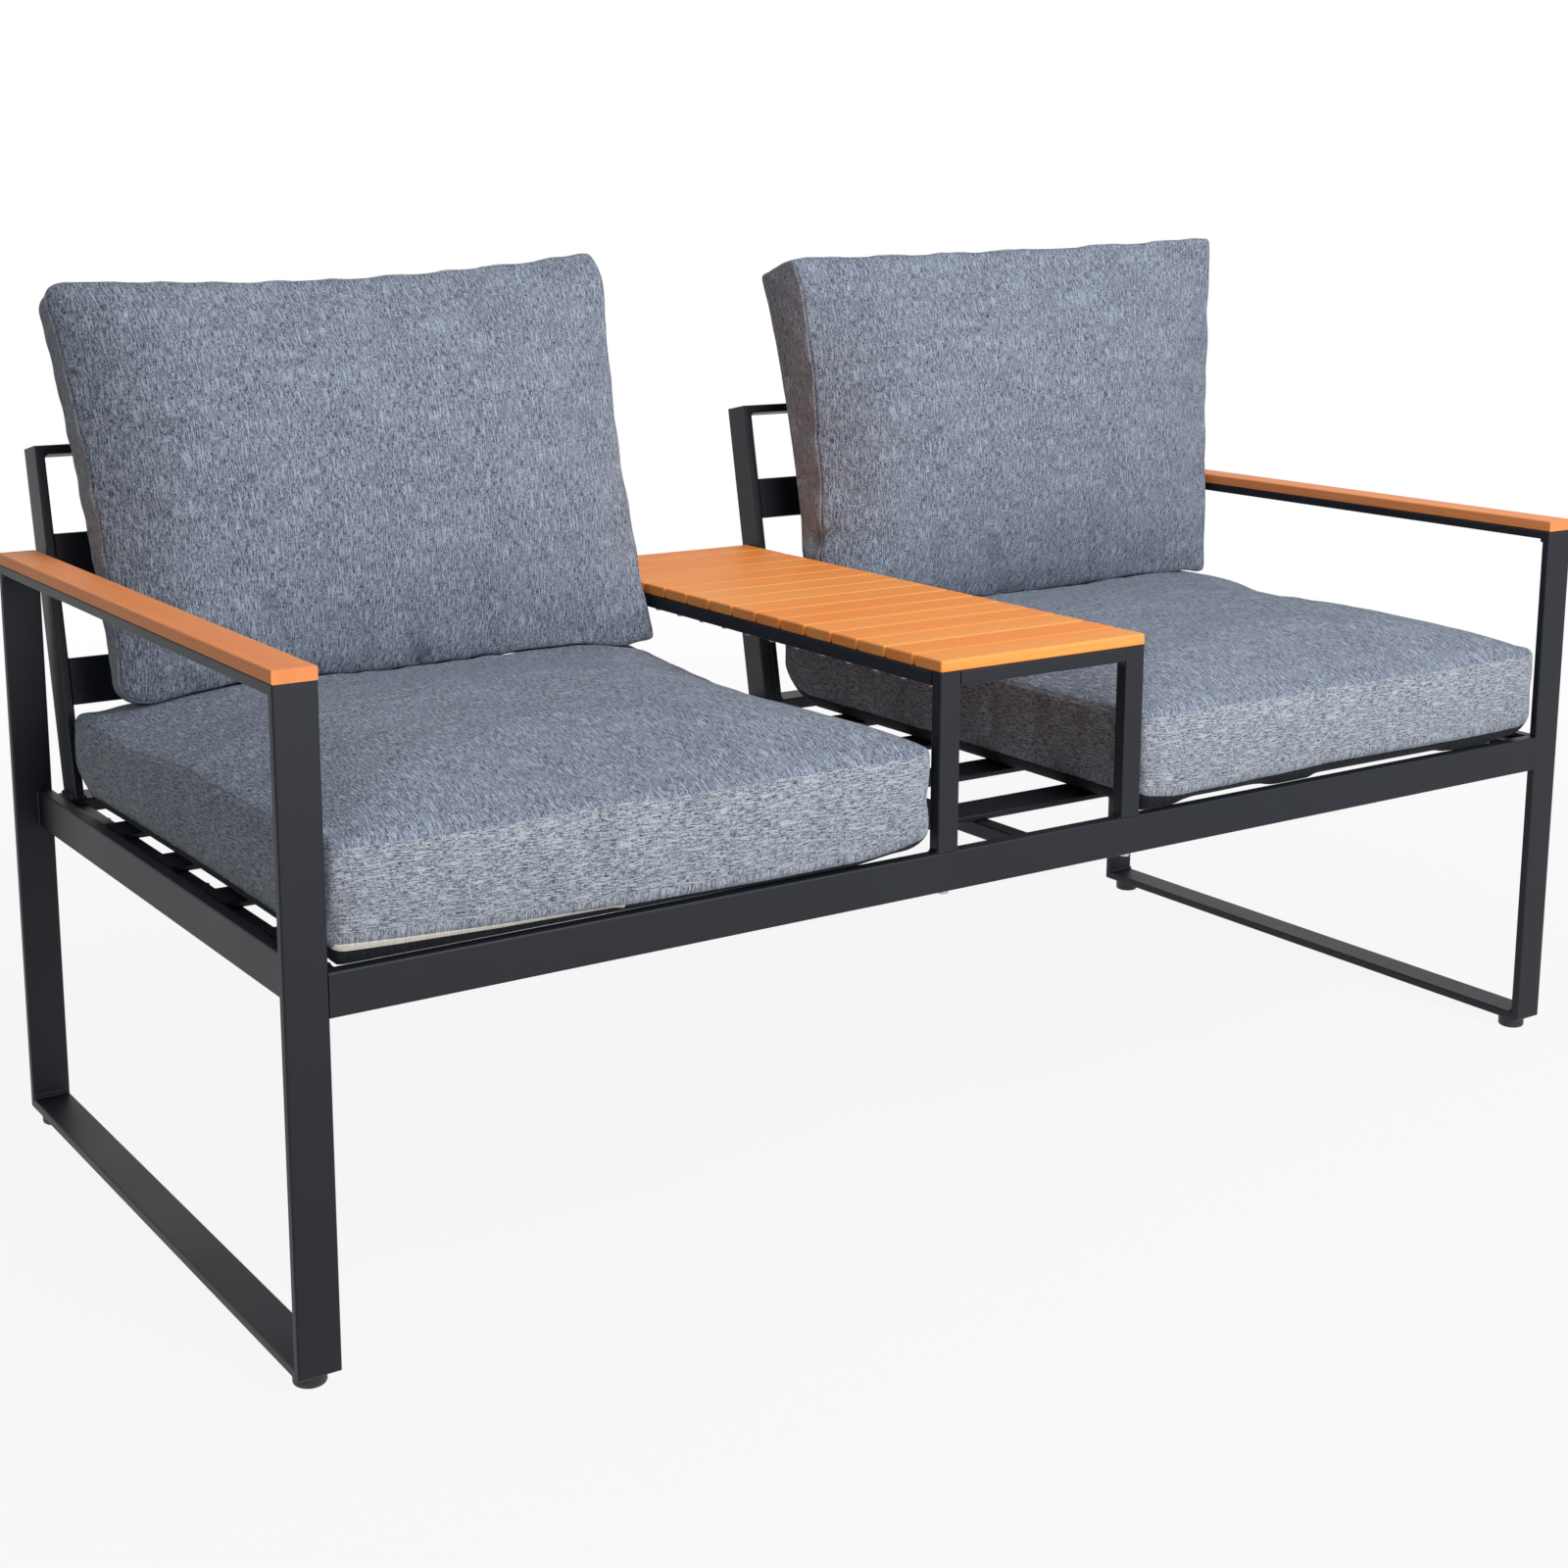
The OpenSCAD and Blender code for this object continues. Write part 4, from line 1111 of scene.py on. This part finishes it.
# %% Make the back cushions
CREASES = {
    -1: (((0.05, -6), (0.05, 40), 13, 10), ((-0.62, -6), (-0.5, 30), 7, 10)),
    1: (
        ((-0.1, -6), (-0.08, 34), 11, 9), ((-0.02, -6), (0.02, 26), 8, 8),
        ((-1.0, 92), (-0.6, 128), 9, 11),
    ),
}
CREASE_FORWARD = 4
NEAR_SEAT = 60
SEAT_GAP, FRAME_GAP = 0.002, 0.0008
LOOK_DOWN_FROM = 1
for side, seed in ((-1, 5), (1, 13)):
    body = ("left" if side < 0 else "right") + "_back_cushion"
    pad, resting = back_cushion(side, seed)
    fill(pad, resting, growth=0.014, band_air=0.35, cap=0.028)
    for (x0, v0), (x1, v1), depth, width in CREASES[side]:
        ends = np.array([[x0, v0], [x1, v1]]) * [CUSHION_W / 2, 1]
        forward = BACK_SIDE_W + CREASE_FORWARD - roll(side, ends[:, 0], ends[:, 1])
        line = place(back_place(side, ends[:, 0], ends[:, 1], forward))
        crease(pad, line[0], line[1], depth / 1000, width / 1000)
    seat = seat_surfaces[side]

    def rest(points):
        """Above the seat cushion, and in front of the back frame."""
        for i in np.flatnonzero(points[:, 2] < (SEAT_TOP_Z + NEAR_SEAT) / 1000):
            above = Vector((points[i, 0], points[i, 1], LOOK_DOWN_FROM))
            top = seat.ray_cast(above, Vector((0, 0, -1)))[0]
            if top:
                points[i, 2] = max(points[i, 2], top.z + SEAT_GAP)
        behind = place([[0, back_frame_y(0), 0]])[0, 1] + points[:, 2] * math.tan(LEAN)
        points[:, 1] = np.minimum(points[:, 1], behind - FRAME_GAP)

    hold(pad, side, rest)
    finish_cushion(pad, body, groove=0.0006)

# %% [markdown]
# ## Studio
# The sofa stands on a plain pale floor in soft studio light. One wide lamp stands in front of it
# and one hangs higher up. The front one makes upright faces brighter than the seats, as in the
# photograph.
#
# The camera sees the room and the floor a little paler than they light the sofa, so the background
# stays white while the floor keeps the sofa's shadow.

# %% Floor
REACH = 14.0
FLOOR_GREY = 0.45
DARKEST, NEAR, FAR = 0.9, 0.7, 3.5
floor_mesh = bpy.data.meshes.new("floor")
corners = [(-REACH, -REACH, 0), (REACH, -REACH, 0), (REACH, REACH, 0), (-REACH, REACH, 0)]
floor_mesh.from_pydata(corners, [], [(0, 1, 2, 3)])
floor = bpy.data.objects.new("floor", floor_mesh)
bpy.context.scene.collection.objects.link(floor)


def is_looked_at(tree):
    """1 for what the camera, a reflection or glass looks at, and 0 for light on the sofa."""
    seen = [
        Pattern(tree).node("LightPath", {}, {}, f"Is {kind} Ray")
        for kind in ("Camera", "Glossy", "Transmission")
    ]
    return (seen[0] + seen[1] + seen[2]).least(1)


floor_material = bpy.data.materials.new("floor")
floor_material.use_nodes = True
tree = floor_material.node_tree
tree.nodes.remove(tree.nodes["Principled BSDF"])
start = Pattern(tree)
ground = start.node("BsdfDiffuse", {}, {"Color": (FLOOR_GREY, FLOOR_GREY, FLOOR_GREY, 1)})
glow = start.node("Emission", {}, {"Strength": 1.0})
distance = start.node("TexCoord", {}, {}, "Object").length()
share = is_looked_at(tree) * (DARKEST + (1 - DARKEST) * distance.rise(NEAR, FAR))
surface = start.node("MixShader", {}, {0: share, 1: ground, 2: glow})
start.feed(tree.nodes["Material Output"].inputs["Surface"], surface)
floor_mesh.materials.append(floor_material)
print("the floor reaches", REACH, "m each way")

# %% Lights and room
ROOM_LIGHT = 0.31
LAMP_SIZE = 2.0
scene = bpy.context.scene
scene.view_settings.view_transform = "Standard"
world = bpy.data.worlds.new("room")
scene.world = world
world.use_nodes = True
room = world.node_tree.nodes["Background"]
room.inputs["Color"].default_value = (1, 1, 1, 1)
strength = is_looked_at(world.node_tree) * (1 - ROOM_LIGHT) + ROOM_LIGHT
strength.feed(room.inputs["Strength"], strength)


def lamp(name, spot, aim, power):
    """A square soft lamp that looks at a point, with its power in watts."""
    light = bpy.data.lights.new(name, "AREA")
    light.shape = "SQUARE"
    light.size = LAMP_SIZE
    light.energy = power
    lamp_object = bpy.data.objects.new(name, light)
    turned = (Vector(aim) - Vector(spot)).to_track_quat("-Z", "Y").to_matrix().to_4x4()
    lamp_object.matrix_world = Matrix.Translation(spot) @ turned
    scene.collection.objects.link(lamp_object)


lamp("front_lamp", (0.3, -3.1, 1.2), (0, 0, 0.45), 59)
lamp("upper_lamp", (0.6, -1.9, 3.3), (0, 0, 0.4), 56)
